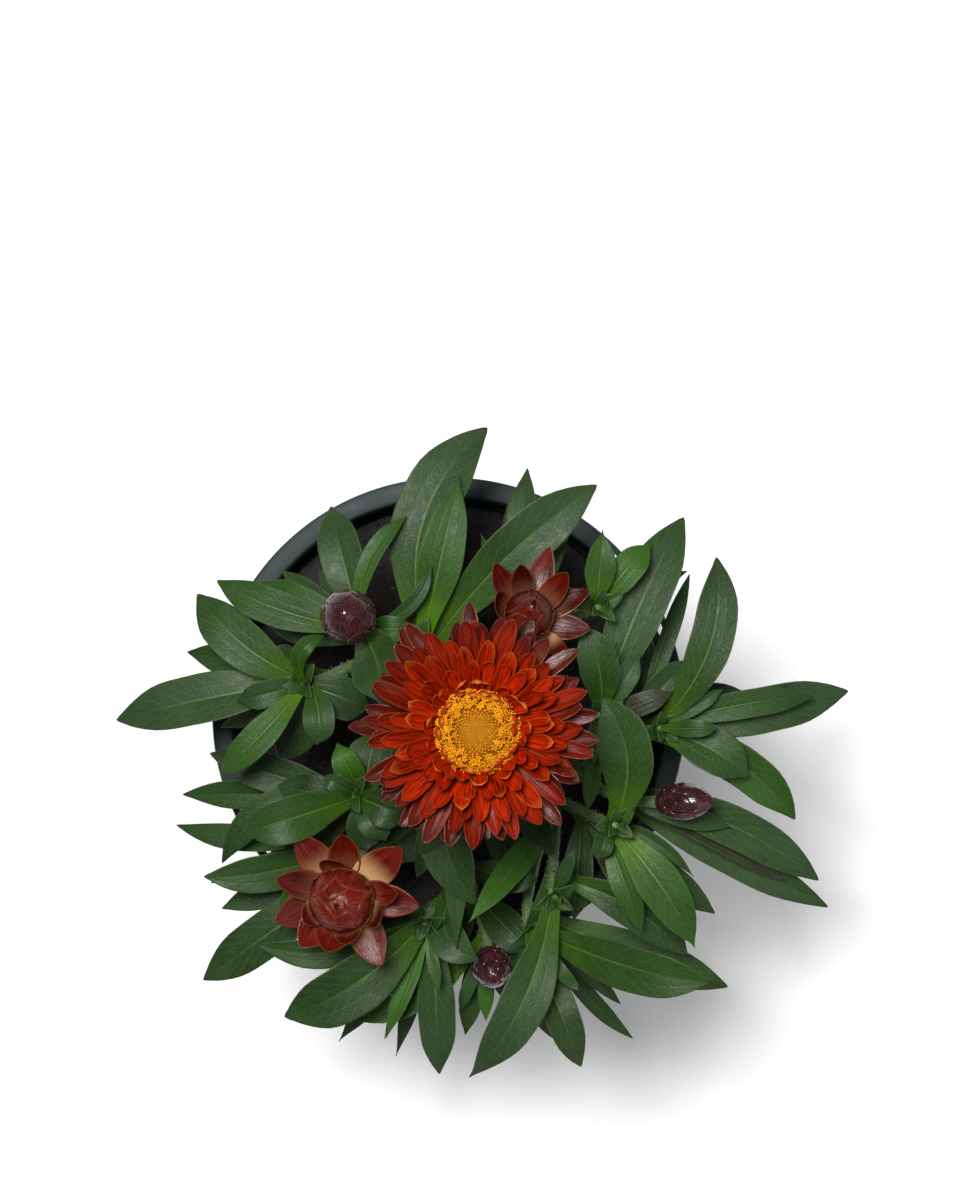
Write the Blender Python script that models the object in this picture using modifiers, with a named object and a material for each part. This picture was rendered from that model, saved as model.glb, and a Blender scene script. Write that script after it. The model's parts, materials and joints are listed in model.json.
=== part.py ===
"""Potted strawflower: a round pot, its soil, seven leafy stems with side shoots,
one open flower, two half-open flowers and three closed buds.

Metres, +Z up. The origin is the middle of the pot's flat base. The layout is
written in millimetres: places are seen from straight above, where they cross
the plane of the pot's rim, with a height over the rim.
"""
import math

import bmesh
import bpy
import numpy as np
from mathutils import Matrix, Vector

MM = 0.001

# Pot: a tapered wall under a rolled rim with an outer skirt
RIM_RADIUS = 70.0
POT_HEIGHT = 122.0
BASE_RADIUS = 51.0
WALL = 1.6
FLOOR = 2.0
RIM_BAND = 5.0
RIM_EDGE = 0.6
SKIRT_DEPTH = 9.0
SKIRT_THICKNESS = 1.3
SHOULDER_DEPTH = 19.0
SHOULDER_STEP = 1.4
BASE_BEVEL = 2.0
POT_STEPS = 36

# Two long slots in the rim's top face, opposite each other, and the drain holes
SLOT_START = 21.0
SLOT_END = 43.6
SLOT_INNER = 66.4
SLOT_OUTER = 68.2
SLOT_STEPS = 4
SLOT_DEPTH = 4.0
DRAIN_COUNT = 6
DRAIN_RADIUS = 4.5
DRAIN_RING = 37.0
DRAIN_SIDES = 6
DRAIN_CUT = 12.0

# Soil, and the holes that the stems stand in
SOIL_DROP = 16.0
SOIL_LUMP = 1.1
SOIL_SIDE_GAP = 0.6
STEM_DEPTH = 20.0
STEM_COLLAR = 2.5
STEM_HOLE_SIDES = 8
GAP = 0.3

# The point that the plant is seen from, over the plane of the rim
VIEW_X = 9.2
VIEW_Y = 33.7
VIEW_HEIGHT = 850.0

# Stems
STEM_FOOT_RADIUS = 2.3
STEM_TOP_RADIUS = 1.5
FORK_THINNING = 0.4
STEM_POINTS = 8

# Leaves: thickness at the midrib, rise of the edges over it, and sections along the blade
LEAF_THICKNESS = 1.3
LEAF_FOLD = 0.22
LEAF_ROLL = math.radians(14)
LEAST_HALF_WIDTH = 0.9
LONG_LEAF = 44.0
LONG_STATIONS = (0.0, 0.3, 0.6, 0.86)
SHORT_STATIONS = (0.0, 0.42, 0.84)

# A leaf's outline: its width at the foot, where it is widest, and for a rounded and for a
# pointed leaf the place where its tip begins and how fast that narrows
FOOT_SHARE = 0.32
WIDEST = 0.55
ROUNDED = (0.52, 0.66)
POINTED = (0.42, 0.95)

# How leaves are lifted clear: distance kept between leaves and from stems and heads, size
# of the cells compared, how far from a shared foot that begins, and limits of arch and step
LEAF_CLEARANCE = 2.3
STEM_CLEARANCE = 2.5
CELL = 2.0
FREE_FOOT = 0.22
SETTLE_ROUNDS = 240
SETTLE_SHARE = 0.6
TIP_STEP = 0.8
ARCH_STEP = 0.5
LEAST_ARCH = -4.0
MOST_ARCH = 14.0

# Open flower
FLOWER_HEIGHT = 92.0
DISC_RADIUS = 8.8
DISC_HEIGHT = 3.4
DISC_BASE = 1.0
RECEPTACLE_RADIUS = 9.9
RECEPTACLE_TOP = 5.7
RECEPTACLE_STEPS = 17

# Bracts
BRACT_THICKNESS = 0.9
BRACT_ROLL = math.radians(9)
BRACT_SWAY = 3.0
LONG_BRACT = 14.0

# Closed scales of the domes and buds: rows, scales in a row, relief, steps round, rings
SCALE_ROWS = 3
SCALE_COUNT = 5
SCALE_RELIEF = 1.2
SCALE_STEPS = 20
DOME_RINGS = 8
BUD_RINGS = 9

# Where each leafy stem stands in the soil
STEM_FEET = {
    "stem_centre": (6, -3),
    "stem_north": (10, 16),
    "stem_west": (-14, 10),
    "stem_south_west": (-16, -10),
    "stem_south": (-2, -22),
    "stem_south_east": (16, -18),
    "stem_east": (24, 2),
}

# Shoots: stem, share of the stem below the fork, seen top (x, y), height, lean (x, y).
# A share of 0 is the stem itself.
SHOOTS = {
    "main": ("stem_centre", 0.0, (8.3, -4.7), FLOWER_HEIGHT, (0.0, 0.0)),
    "n": ("stem_north", 0.0, (22.5, 27.0), 68, (0.12, 0.30)),
    "nn": ("stem_north", 0.35, (-9, 21), 50, (-0.2, 0.1)),
    "ne": ("stem_north", 0.45, (44, 31.6), 58, (0.3, 0.1)),
    "nw": ("stem_west", 0.0, (-28.4, 27.5), 64, (-0.1, 0.15)),
    "wnw": ("stem_west", 0.35, (-43, 9), 46, (-0.4, 0.0)),
    "sw": ("stem_south_west", 0.0, (-30.7, -53.0), 52, (-0.1, -0.15)),
    "w": ("stem_south_west", 0.35, (-28, -24), 42, (-0.4, 0.0)),
    "s2": ("stem_south", 0.0, (12.1, -71.0), 20, (0.1, -0.5)),
    "ssw": ("stem_south", 0.4, (-7, -62), 32, (-0.2, -0.5)),
    "se": ("stem_south_east", 0.0, (49, -32.8), 52, (0.2, 0.0)),
    "s": ("stem_south_east", 0.35, (31, -54), 42, (0.1, -0.4)),
    "s3": ("stem_south_east", 0.3, (24, -64), 26, (0.3, -0.5)),
    "e3": ("stem_east", 0.0, (61.5, -26.0), 40, (1.9, 0.1)),
    "e1": ("stem_east", 0.4, (44.6, -0.3), 54, (0.0, 0.1)),
    "e2": ("stem_east", 0.45, (62.3, -4.1), 48, (0.4, 0.0)),
}

# Leaves of each shoot: place along the shoot, seen tip (x, y), tip height, width, arch, bow
LEAVES = {
    "main": [
        (0.58, 7.5, -55.5, 44, 14, 8, -9),
        (0.60, 2.5, -68, 36, 8, 6, -2),
        (0.70, -17, -22, 54, 8, 4, 0),
        (0.76, 24, -24, 62, 8, 4, 0),
        (0.82, 20, 13, 68, 6, 3, 0),
        (0.86, -6, 8, 72, 6, 3, 0),
        (0.50, -9, -48, 34, 10, 6, 0),
        (0.45, 20, -52, 30, 10, 6, 0),
        (0.42, -22, -40, 28, 10, 6, 0),
        (0.40, 30, -40, 28, 10, 6, 0),
        (0.62, -8, -40, 50, 10, 8, 0),
    ],
    "n": [
        (0.62, 23, 72, 40, 9, 7, 0),
        (0.70, 36, 59, 40, 7, 5, 0),
        (0.84, 30, 50, 44, 5.5, 3, 0),
        (0.84, 9.5, 53, 40, 6, 3, 0),
        (0.62, 18.5, 64, 34, 6, 5, 0),
    ],
    "nn": [
        (0.85, 10.6, 84, 48, 17, 9, 10),
        (0.93, 3, 69, 54, 13, 7, 0),
        (0.80, 43, 67, 56, 15, 8, 3),
        (0.70, 25, 54, 32, 10, 5, 0),
    ],
    "ne": [
        (0.97, 45.5, 53.5, 64, 9, 3, 0),
        (0.90, 31, 38, 58, 4.7, 4, 0),
        (0.90, 59, 50, 56, 9, 4, 0),
        (0.70, 70, 42, 34, 5, 3, 0),
    ],
    "nw": [
        (0.80, -35, 61, 44, 12.4, 6, 0),
        (0.86, -68, 39, 50, 10.3, 5, 2),
        (0.74, -55, 39, 38, 9, 4, 0),
        (0.86, -13, 58, 54, 5.5, 4, 4.5),
        (0.88, -20, 3, 99, 15, 14, 2),
        (0.86, -10.6, 25, 56, 7.4, 3, 0),
        (0.60, -49, 42, 28, 7, 4, 0),
        (0.52, -38, 42, 22, 7, 3, 0),
        (0.66, -53, 26, 32, 8, 4, 0),
        (0.84, -5, 43, 56, 4, 4, -4),
    ],
    "wnw": [
        (0.90, -74, 35, 42, 13.3, 6, 3),
        (0.70, -77, 18, 28, 10, 4, 0),
        (0.80, -98, -1.5, 30, 14.5, 7, -1),
        (0.86, -62, 4, 44, 8, 4, 0),
        (0.93, -39, -8.5, 48, 9, 5, 2),
        (0.97, -67, -17, 46, 9, 5, 1),
        (0.60, -67, -4, 24, 7.4, 4, 0),
        (0.98, -37, 23, 56, 5, 6, 4),
        (0.98, -24, 2, 44, 12, 3, 0),
        (0.62, -50, -13, 26, 12, 4, 0),
        (0.90, -52, 20, 34, 8, 4, 0),
    ],
    "sw": [
        (0.60, -71.5, -48.4, 42, 11.2, 5, 2),
        (0.52, -70, -50, 24, 6, 3, 0),
        (0.70, -67, -58, 30, 9, 4, 0),
        (0.86, -50, -60, 50, 4.5, 4, -6),
        (0.78, -72, -78, 26, 13.3, 6, 0),
    ],
    "w": [
        (0.90, -59, -33.5, 44, 13, 5, 0),
        (0.55, -70, -12, 28, 11, 5, 0),
        (0.70, -67, -43.5, 26, 9, 5, -9),
        (0.45, -78, -24, 18, 9, 5, -2),
        (0.50, -80, -33, 14, 8, 4, 6),
        (0.60, -33, -9, 46, 8, 5, 0),
        (0.85, -36, -18, 42, 6, 3, 0),
        (0.90, -19, -37, 42, 9, 4, 0),
        (0.75, -13, -13, 36, 13, 5, 0),
        (0.62, -11, -44, 22, 14, 5, 0),
        (0.45, -58, -23, 10, 9, 5, 0),
        (0.66, -48, -40, 24, 10, 5, 0),
        (0.80, -50, -21, 32, 10, 5, 0),
        (0.90, -24, -40, 34, 10, 4, 0),
        (0.80, -22, -6, 40, 13, 6, 0),
        (0.97, -12, -30, 46, 11, 5, 0),
    ],
    "s2": [
        (0.80, 37, -99, 2, 10.3, 5, 0),
        (0.90, 3, -87.5, 14, 4, 3, 0),
        (0.80, 5, -94.5, 8, 7, 4, 0),
        (0.85, 11, -90.4, 12, 5, 3, 0),
        (0.85, -27, -91, 26, 8.3, 5, 4),
        (0.70, 20, -86, -2, 9, 4, 0),
        (0.62, 24, -70, 18, 11, 6, 0),
        (0.62, -4, -70, 18, 11, 6, 0),
    ],
    "ssw": [
        (0.92, -47.6, -89, 32, 17, 7, 3),
        (0.85, -18.5, -95.5, 34, 6.5, 5, 0),
        (0.75, -32, -96, 8, 8.3, 4, 0),
        (0.70, -19, -96, 4, 6, 4, 0),
        (0.65, -16, -102.5, -2, 6.5, 4, 0),
        (0.85, -2.7, -105, 12, 11, 6, 0),
        (0.97, -3, -81, 30, 3.5, 3, 0),
        (0.25, 8, -73, 42, 11, 9, -7),
        (0.90, -55.5, -68.3, 40, 9, 5, 5),
        (0.60, -26, -74, 18, 10, 5, 0),
        (0.10, 26, -50, 50, 9, 9, 0),
    ],
    "se": [
        (0.92, 72.5, -68.5, 44, 13, 7, 2),
        (0.85, 57, -64.5, 42, 8.3, 6, 0),
        (0.93, 44, -43, 50, 6, 3, 0),
        (0.80, 72, -48, 40, 4.5, 4, 3),
        (0.70, 78, -58.5, 30, 9, 4, 0),
        (0.97, 46, 4, 66, 15, 4, -5),
        (0.50, 6.5, -60, 46, 8.5, 6, 0),
        (0.60, 62, -66, 24, 7, 4, 0),
        (0.55, 69, -60, 14, 10, 4, 0),
        (0.66, 37, -60, 28, 9, 4, 0),
    ],
    "s": [
        (0.95, 6.5, -105.8, 34, 14.8, 9, 4),
        (0.80, 70, -71, 30, 11, 6, 4),
        (0.97, 37, -40, 52, 4.5, 3, 0),
        (0.66, 22, -84, 12, 9, 4, 0),
    ],
    "s3": [
        (0.95, 72.4, -73.3, 30, 13.3, 6, -1),
        (0.85, 82, -81, 16, 12, 6, 0),
        (0.80, 50.5, -85.7, 12, 5, 4, 0),
        (0.75, 54, -95.7, 4, 5.5, 4, -3),
        (0.90, 38, -99, 6, 10, 5, 0),
        (0.90, 33, -92.5, 10, 4, 4, 0),
        (0.95, 37.8, -79.2, 24, 4, 4, 0),
    ],
    "e3": [
        (0.74, 109, -49, 22, 12, 5, 5),
        (0.60, 111.5, -57, 14, 11, 5, 0),
        (0.70, 99, -49, 18, 6.5, 4, 2),
        (0.80, 82, -33, 28, 7, 3, 0),
    ],
    "e1": [
        (0.93, 40, 25.4, 62, 11, 4, -2),
        (0.80, 69, 57.6, 46, 15, 7, 2),
        (0.95, 56, 17, 56, 7, 3, 0),
        (0.85, 65, 6.5, 50, 6.5, 4, 0),
        (0.90, 62, 3, 48, 5, 3, 0),
        (0.90, 41, -28, 48, 5, 4, 0),
        (0.97, 43, -14, 60, 5, 3, 0),
        (0.70, 55, -20, 34, 10, 4, 0),
    ],
    "e2": [
        (0.93, 79, 45.5, 52, 12, 8, -6),
        (0.70, 71, 41, 30, 5, 4, 0),
        (0.75, 72, 15, 40, 9, 4, 3),
        (0.60, 88, 6, 26, 10, 4, 3),
        (0.80, 117.6, 6.5, 34, 13.3, 7, 0),
        (0.90, 107, 5, 42, 8, 4, 2),
        (0.93, 88, -18, 52, 13, 4, 2),
        (0.80, 102, -31, 38, 12, 6, 6),
        (0.97, 79, -4, 54, 5, 3, 0),
        (0.97, 80.6, 7, 52, 4.5, 3, 0),
        (0.60, 59, 24, 22, 9, 4, 0),
    ],
}

# Rows of the leaves that end in a point
POINTED_ROWS = {
    "main": (1,), "n": (1, 2, 3), "nn": (1,), "ne": (0, 1), "ssw": (1, 2, 3, 4),
    "se": (0, 1, 3, 6), "s": (0, 2),
}

# Layers of bracts: count, phase, root (radius, height), start and turn in degrees,
# length, width, cup
OPEN_CORE = [(0, RECEPTACLE_TOP), (RECEPTACLE_RADIUS, RECEPTACLE_TOP),
             (RECEPTACLE_RADIUS, 2.6),
             (6.6, 0.3), (4.0, 0.0), (0, 0)]
OPEN_LAYERS = [
    (17, 0.0, (6.0, 1.0), (-5, 8), 27.0, 5.8, 0.7),
    (17, 0.5, (7.2, 1.9), (4, 12), 24.2, 5.5, 0.8),
    (17, 0.0, (8.0, 2.8), (15, 16), 20.0, 5.1, 0.9),
    (15, 0.4, (8.6, 3.6), (30, 30), 14.5, 4.6, 0.9),
    (13, 0.0, (9.2, 4.2), (54, 54), 9.5, 4.2, 0.8),
]
NORTH_CORE = [(0, 17.0), (1.6, 16.0), (4.4, 12.6), (6.0, 9.0), (6.2, 6.0), (4.6, 2.0),
              (2.8, 0.2), (2.4, 0.0), (0, 0)]
NORTH_LAYERS = [
    (1, 0.983, (3.6, 1.8), (4, 30), 15.0, 6.5, 1.0),
    (1, 0.061, (3.6, 1.8), (6, 28), 17.0, 7.0, 1.0),
    (1, 0.133, (4.2, 2.8), (22, 42), 14.5, 6.4, 1.1),
    (1, 0.200, (3.6, 1.8), (6, 26), 17.0, 7.0, 1.0),
    (1, 0.269, (4.2, 2.8), (26, 42), 13.5, 6.4, 1.1),
    (1, 0.339, (3.6, 1.8), (8, 32), 15.5, 6.5, 1.0),
    (1, 0.458, (4.2, 2.6), (30, 46), 11.8, 6.4, 1.1),
    (1, 0.597, (4.0, 2.2), (26, 50), 11.4, 6.4, 1.1),
    (1, 0.728, (4.0, 2.2), (20, 50), 11.8, 6.4, 1.1),
    (1, 0.867, (4.0, 2.2), (14, 44), 13.0, 6.6, 1.1),
]
SOUTH_WEST_CORE = [(0, 14.6), (3.4, 14.0), (6.6, 11.6), (8.6, 8.0), (8.4, 5.6), (5.8, 2.0),
                   (3.0, 0.2), (2.4, 0.0), (0, 0)]
SOUTH_WEST_LAYERS = [
    (1, 0.353, (4.0, 1.6), (-4, 30), 18.0, 9.4, 1.0),
    (1, 0.233, (4.0, 1.8), (4, 34), 16.5, 9.0, 1.0),
    (1, 0.125, (4.0, 1.6), (-2, 26), 18.0, 9.4, 1.0),
    (1, 0.039, (5.0, 2.4), (12, 40), 14.5, 7.0, 1.0),
    (1, 0.975, (4.0, 1.6), (-8, 30), 17.5, 8.8, 1.0),
    (1, 0.836, (4.0, 1.6), (-6, 26), 18.0, 10.0, 1.0),
    (1, 0.717, (5.0, 2.2), (12, 44), 13.5, 9.4, 1.0),
    (1, 0.633, (4.4, 1.9), (4, 40), 14.5, 9.0, 1.0),
    (1, 0.536, (4.0, 1.6), (-2, 34), 17.0, 9.4, 1.0),
    (1, 0.442, (4.4, 1.9), (6, 34), 15.5, 8.8, 1.0),
    (1, 0.292, (5.4, 2.8), (24, 60), 12.5, 7.0, 1.0),
    (1, 0.917, (5.4, 2.8), (20, 56), 12.5, 7.0, 1.0),
    (1, 0.778, (5.4, 2.8), (26, 60), 11.5, 7.0, 1.0),
    (1, 0.583, (5.4, 2.8), (24, 60), 11.5, 7.0, 1.0),
]
BUD_CORE = [(0, 16.4), (2.2, 15.6), (5.2, 13.0), (7.0, 9.4), (7.0, 6.4), (5.2, 2.2),
            (2.8, 0.2), (2.3, 0.0), (0, 0)]

# Closed buds: shoot, share of the full width, share of the full length
BUDS = {
    "bud_north_west": ("nw", 1.0, 1.0),
    "bud_east": ("e3", 0.68, 1.0),
    "bud_south": ("s2", 0.75, 0.8),
}

# Room that each head takes over its stem's top: widest radius, length
HEAD_ROOM = {
    "n": (13.0, 17.0),
    "nw": (9.0, 17.0),
    "sw": (14.0, 16.0),
    "e3": (6.4, 17.0),
    "s2": (7.0, 14.0),
}


def seen_place(x, y, height):
    """The point at a height over the rim that is seen at (x, y) from above."""
    nearer = (VIEW_HEIGHT - height) / VIEW_HEIGHT
    return Vector((VIEW_X + (x - VIEW_X) * nearer,
                   VIEW_Y + (y - VIEW_Y) * nearer,
                   POT_HEIGHT + height))


class Stem:
    """A stem or side shoot: a cubic curve from its foot to its top."""

    def __init__(self, node, fork, top, height, lean, parent):
        self.node = node
        self.end = seen_place(top[0], top[1], height)
        self.axis = Vector((lean[0], lean[1], 1.0)).normalized()
        if fork:
            self.foot = parent.point(fork)
            self.start = (parent.tangent(fork) + self.axis * 0.4).normalized()
        else:
            x, y = STEM_FEET[node]
            self.foot = Vector((x, y, POT_HEIGHT - SOIL_DROP + STEM_COLLAR))
            out = self.end - self.foot
            self.start = Vector((out.x, out.y, out.length * 0.9)).normalized()
        reach = (self.end - self.foot).length
        self.knots = (self.foot, self.foot + self.start * reach * 0.35,
                      self.end - self.axis * reach * 0.4, self.end)

    def point(self, t):
        a, b, c, d = self.knots
        s = 1.0 - t
        return a * s ** 3 + b * (3 * s * s * t) + c * (3 * s * t * t) + d * t ** 3

    def tangent(self, t):
        step = 0.01
        return (self.point(min(t + step, 1.0)) - self.point(max(t - step, 0.0))).normalized()


def make_stems():
    stems = {}
    leaders = {}
    for name, (node, fork, top, height, lean) in SHOOTS.items():
        stems[name] = Stem(node, fork, top, height, lean, leaders.get(node))
        leaders.setdefault(node, stems[name])
    return stems


class Leaf:
    """A leaf: a bowed and arched midrib with a lance-shaped blade."""

    def __init__(self, shoot, stem, row, number):
        along, x, y, height, width, arch, bow = row
        self.shoot = shoot
        self.node = stem.node
        self.foot = stem.point(along)
        self.tip = seen_place(x, y, height)
        self.half = width / 2
        self.arch = arch
        self.roll = LEAF_ROLL * math.sin(2.4 * number)
        across = Vector((self.tip.y - self.foot.y, self.foot.x - self.tip.x, 0.0))
        self.bow = across.normalized() * -bow
        place = LEAVES[shoot].index(row)
        self.shoulder, self.taper = POINTED if place in POINTED_ROWS.get(shoot, ()) else ROUNDED

    def width(self, u):
        """Half the blade's width at u, from its foot at 0 to its tip at 1."""
        rise = min(u / WIDEST, 1.0)
        share = FOOT_SHARE + (1.0 - FOOT_SHARE) * rise * rise * (3.0 - 2.0 * rise)
        past = max((u - self.shoulder) / (1.0 - self.shoulder), 0.0)
        return self.half * share * max(1.0 - past * past, 0.0) ** self.taper

    def rib(self, u):
        hump = 4.0 * u * (1.0 - u)
        return self.foot.lerp(self.tip, u) + self.bow * hump + Vector((0, 0, self.arch * hump))

    def frame(self, u):
        """The midrib's point, the blade's side and the blade's face direction."""
        step = 0.02
        along = (self.rib(u + step) - self.rib(u - step)).normalized()
        side = along.cross(Vector((0, 0, 1))).normalized()
        face = side.cross(along)
        side = side * math.cos(self.roll) + face * math.sin(self.roll)
        return self.rib(u), side, side.cross(along)


def make_leaves(stems):
    leaves = []
    for shoot, rows in LEAVES.items():
        for row in rows:
            leaves.append(Leaf(shoot, stems[shoot], row, len(leaves)))
    return leaves


def settle(leaves, stems):
    """Lift and lower tips and arches until the leaves pass clear over each other."""
    cover = {}
    for i, leaf in enumerate(leaves):
        spots = {}
        for u in np.linspace(0.1, 1.0, 26):
            centre, side, face = leaf.frame(u)
            for v in np.linspace(-1.0, 1.0, 7):
                off = leaf.width(u) * v
                p = centre + side * off + face * abs(off) * LEAF_FOLD
                spots[(round(p.x / CELL), round(p.y / CELL))] = (u, p.z - centre.z)
        for key, (u, rise) in spots.items():
            cover.setdefault(key, []).append((i, u, rise))
    solid = {}
    for name, stem in stems.items():
        for t in np.linspace(0.0, 1.0, 90):
            p = stem.point(t)
            low, high = solid.get((round(p.x / CELL), round(p.y / CELL), name), (p.z, p.z))
            solid[(round(p.x / CELL), round(p.y / CELL), name)] = (min(low, p.z), max(high, p.z))
    for name, (radius, length) in HEAD_ROOM.items():
        stem = stems[name]
        turn = Vector((0, 0, 1)).rotation_difference(stem.axis)
        for along in np.linspace(0.0, 1.0, 9):
            wide = radius * min(0.35 + 1.6 * along, 1.0, 2.2 * (1.15 - along))
            for ring in (0.25, 0.5, 0.75, 1.0):
                for a in np.linspace(0.0, math.tau, 24, endpoint=False):
                    out = Vector((math.cos(a), math.sin(a), 0)) * wide * ring
                    p = stem.end + turn @ (out + Vector((0, 0, length * along)))
                    key = (round(p.x / CELL), round(p.y / CELL), "head_" + name)
                    low, high = solid.get(key, (p.z, p.z))
                    solid[key] = (min(low, p.z), max(high, p.z))

    pairs = []
    for members in cover.values():
        for a in range(len(members)):
            for b in range(a + 1, len(members)):
                i, ui, ri = members[a]
                j, uj, rj = members[b]
                same = leaves[i].shoot == leaves[j].shoot
                if not (same and min(ui, uj) < FREE_FOOT):
                    pairs.append((i, j, ui, uj, ri, rj))
    blocks = []
    for (cx, cy, name), (low, high) in solid.items():
        for i, u, rise in cover.get((cx, cy), ()):
            if leaves[i].shoot != name:
                blocks.append((i, u, rise, low - STEM_CLEARANCE, high + STEM_CLEARANCE, name))

    def heights(index, u, rise, tip, arch):
        return foot[index] * (1 - u) + tip[index] * u + arch[index] * 4 * u * (1 - u) + rise

    foot = np.array([leaf.foot.z for leaf in leaves])
    tip = np.array([leaf.tip.z for leaf in leaves])
    arch = np.array([float(leaf.arch) for leaf in leaves])
    pi, pj = (np.array([p[k] for p in pairs]) for k in (0, 1))
    ui, uj, ri, rj = (np.array([p[k] for p in pairs]) for k in (2, 3, 4, 5))
    bi = np.array([b[0] for b in blocks])
    bu, br, low, high = (np.array([b[k] for b in blocks]) for k in (1, 2, 3, 4))

    over = {}
    start = heights(pi, ui, ri, tip, arch) - heights(pj, uj, rj, tip, arch)
    for a, b, d in zip(pi, pj, start):
        over[(a, b)] = over.get((a, b), 0.0) + d
    sign = np.array([1.0 if over[(a, b)] >= 0 else -1.0 for a, b in zip(pi, pj)])
    above = {}
    owners = [(b[0], b[5]) for b in blocks]
    start = heights(bi, bu, br, tip, arch) - (low + high) / 2
    for owner, d in zip(owners, start):
        above[owner] = above.get(owner, 0.0) + d
    block_sign = np.array([1.0 if above[owner] >= 0 else -1.0 for owner in owners])

    count = len(leaves)
    for _ in range(SETTLE_ROUNDS):
        push = np.zeros((count, 2))
        weight = np.full((count, 2), 1e-6)

        def add(index, u, amount):
            for k, share in enumerate((u, 4 * u * (1 - u))):
                np.add.at(push[:, k], index, amount * share)
                np.add.at(weight[:, k], index, share * share)

        apart = sign * (heights(pi, ui, ri, tip, arch) - heights(pj, uj, rj, tip, arch))
        short = np.maximum(LEAF_CLEARANCE - apart, 0.0)
        hit = short > 0
        add(pi[hit], ui[hit], (short * sign)[hit] * 0.5)
        add(pj[hit], uj[hit], (-short * sign)[hit] * 0.5)
        level = heights(bi, bu, br, tip, arch)
        need = np.where(block_sign > 0, high - level, level - low)
        hit = need > 0
        add(bi[hit], bu[hit], (need * block_sign)[hit])
        move = SETTLE_SHARE * push / weight
        tip += np.clip(move[:, 0], -TIP_STEP, TIP_STEP)
        arch += np.clip(move[:, 1], -ARCH_STEP, ARCH_STEP)
        arch = np.clip(arch, LEAST_ARCH, MOST_ARCH)
    for leaf, z, a in zip(leaves, tip, arch):
        leaf.tip.z = z
        leaf.arch = a


def material(name, colour, roughness, metallic=0.0):
    made = bpy.data.materials.new(name)
    made.use_nodes = True
    shader = made.node_tree.nodes["Principled BSDF"]
    shader.inputs["Base Color"].default_value = (*colour, 1.0)
    shader.inputs["Roughness"].default_value = roughness
    shader.inputs["Metallic"].default_value = metallic
    made.diffuse_color = (*colour, 1.0)
    return made


def add_object(name, mesh, collection):
    made = bpy.data.objects.new(name, mesh)
    collection.objects.link(made)
    return made


def evaluated_mesh(source):
    """The mesh of an object with its modifiers applied, or of a curve, welded."""
    depsgraph = bpy.context.evaluated_depsgraph_get()
    mesh = bpy.data.meshes.new_from_object(source.evaluated_get(depsgraph))
    work = bmesh.new()
    work.from_mesh(mesh)
    bmesh.ops.remove_doubles(work, verts=work.verts, dist=1e-7)
    bmesh.ops.recalc_face_normals(work, faces=work.faces)
    work.to_mesh(mesh)
    work.free()
    return mesh


def finish_shape(source):
    """Replace an object by a mesh object of the same name and place."""
    mesh = evaluated_mesh(source)
    name, place = source.name, source.matrix_world.copy()
    collection = source.users_collection[0]
    bpy.data.objects.remove(source)
    made = add_object(name, mesh, collection)
    made.matrix_world = place
    return made


def turned(name, profile, steps, collection):
    """A turned body from its profile in mm, (radius, height), down its outer side."""
    mesh = bpy.data.meshes.new(name)
    points = [(r * MM, 0.0, z * MM) for r, z in profile]
    mesh.from_pydata(points, [(i, i + 1) for i in range(len(points) - 1)], [])
    made = add_object(name, mesh, collection)
    screw = made.modifiers.new("Turn", "SCREW")
    screw.axis = "Z"
    screw.steps = steps
    screw.render_steps = steps
    screw.use_merge_vertices = True
    screw.merge_threshold = 0.00001
    return made


def keep_outer_shell(mesh):
    """Fill the hollows that joining seals, drop loose scraps and merge flat faces."""
    work = bmesh.new()
    work.from_mesh(mesh)
    left = set(work.verts)
    shells = []
    while left:
        shell = {left.pop()}
        edge = list(shell)
        while edge:
            vertex = edge.pop()
            for link in vertex.link_edges:
                other = link.other_vert(vertex)
                if other in left:
                    left.remove(other)
                    shell.add(other)
                    edge.append(other)
        shells.append(shell)
    shells.sort(key=len)
    small = [vertex for shell in shells[:-1] for vertex in shell]
    bmesh.ops.delete(work, geom=small, context="VERTS")
    bmesh.ops.dissolve_limit(work, angle_limit=math.radians(0.3), verts=work.verts,
                             edges=work.edges)
    work.to_mesh(mesh)
    work.free()


def combine(base, tools, operation):
    """Cut a collection's objects out of a body, or join them to it, and remove them."""
    boolean = base.modifiers.new("Combine", "BOOLEAN")
    boolean.operation = operation
    boolean.operand_type = "COLLECTION"
    boolean.collection = tools
    made = finish_shape(base)
    keep_outer_shell(made.data)
    for tool in list(tools.objects):
        bpy.data.objects.remove(tool)
    return made


def shade_round(made, shade):
    made.data.materials.clear()
    made.data.materials.append(shade)
    made.data.shade_smooth()
    made.data.set_sharp_from_angle(angle=math.radians(40))


def loft(name, rings, tip, collection):
    """A closed blade through rings of equal count, ending in a point.

    Each ring runs along the top face and back along the bottom face, and both
    faces are split into triangles alike.
    """
    work = bmesh.new()
    rows = [[work.verts.new(p * MM) for p in ring] for ring in rings]
    count = len(rows[0])
    for a, b in zip(rows, rows[1:]):
        for j in range(count):
            k = (j + 1) % count
            if j < count // 2:
                work.faces.new((a[j], a[k], b[k]))
                work.faces.new((a[j], b[k], b[j]))
            else:
                work.faces.new((a[j], a[k], b[j]))
                work.faces.new((a[k], b[k], b[j]))
    work.faces.new(rows[0])
    last = rows[-1]
    point = work.verts.new(tip * MM)
    for j in range(count):
        work.faces.new((last[j], last[(j + 1) % count], point))
    bmesh.ops.triangulate(work, faces=[f for f in work.faces if len(f.verts) > 3])
    bmesh.ops.recalc_face_normals(work, faces=work.faces)
    mesh = bpy.data.meshes.new(name)
    work.to_mesh(mesh)
    work.free()
    return add_object(name, mesh, collection)


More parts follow.
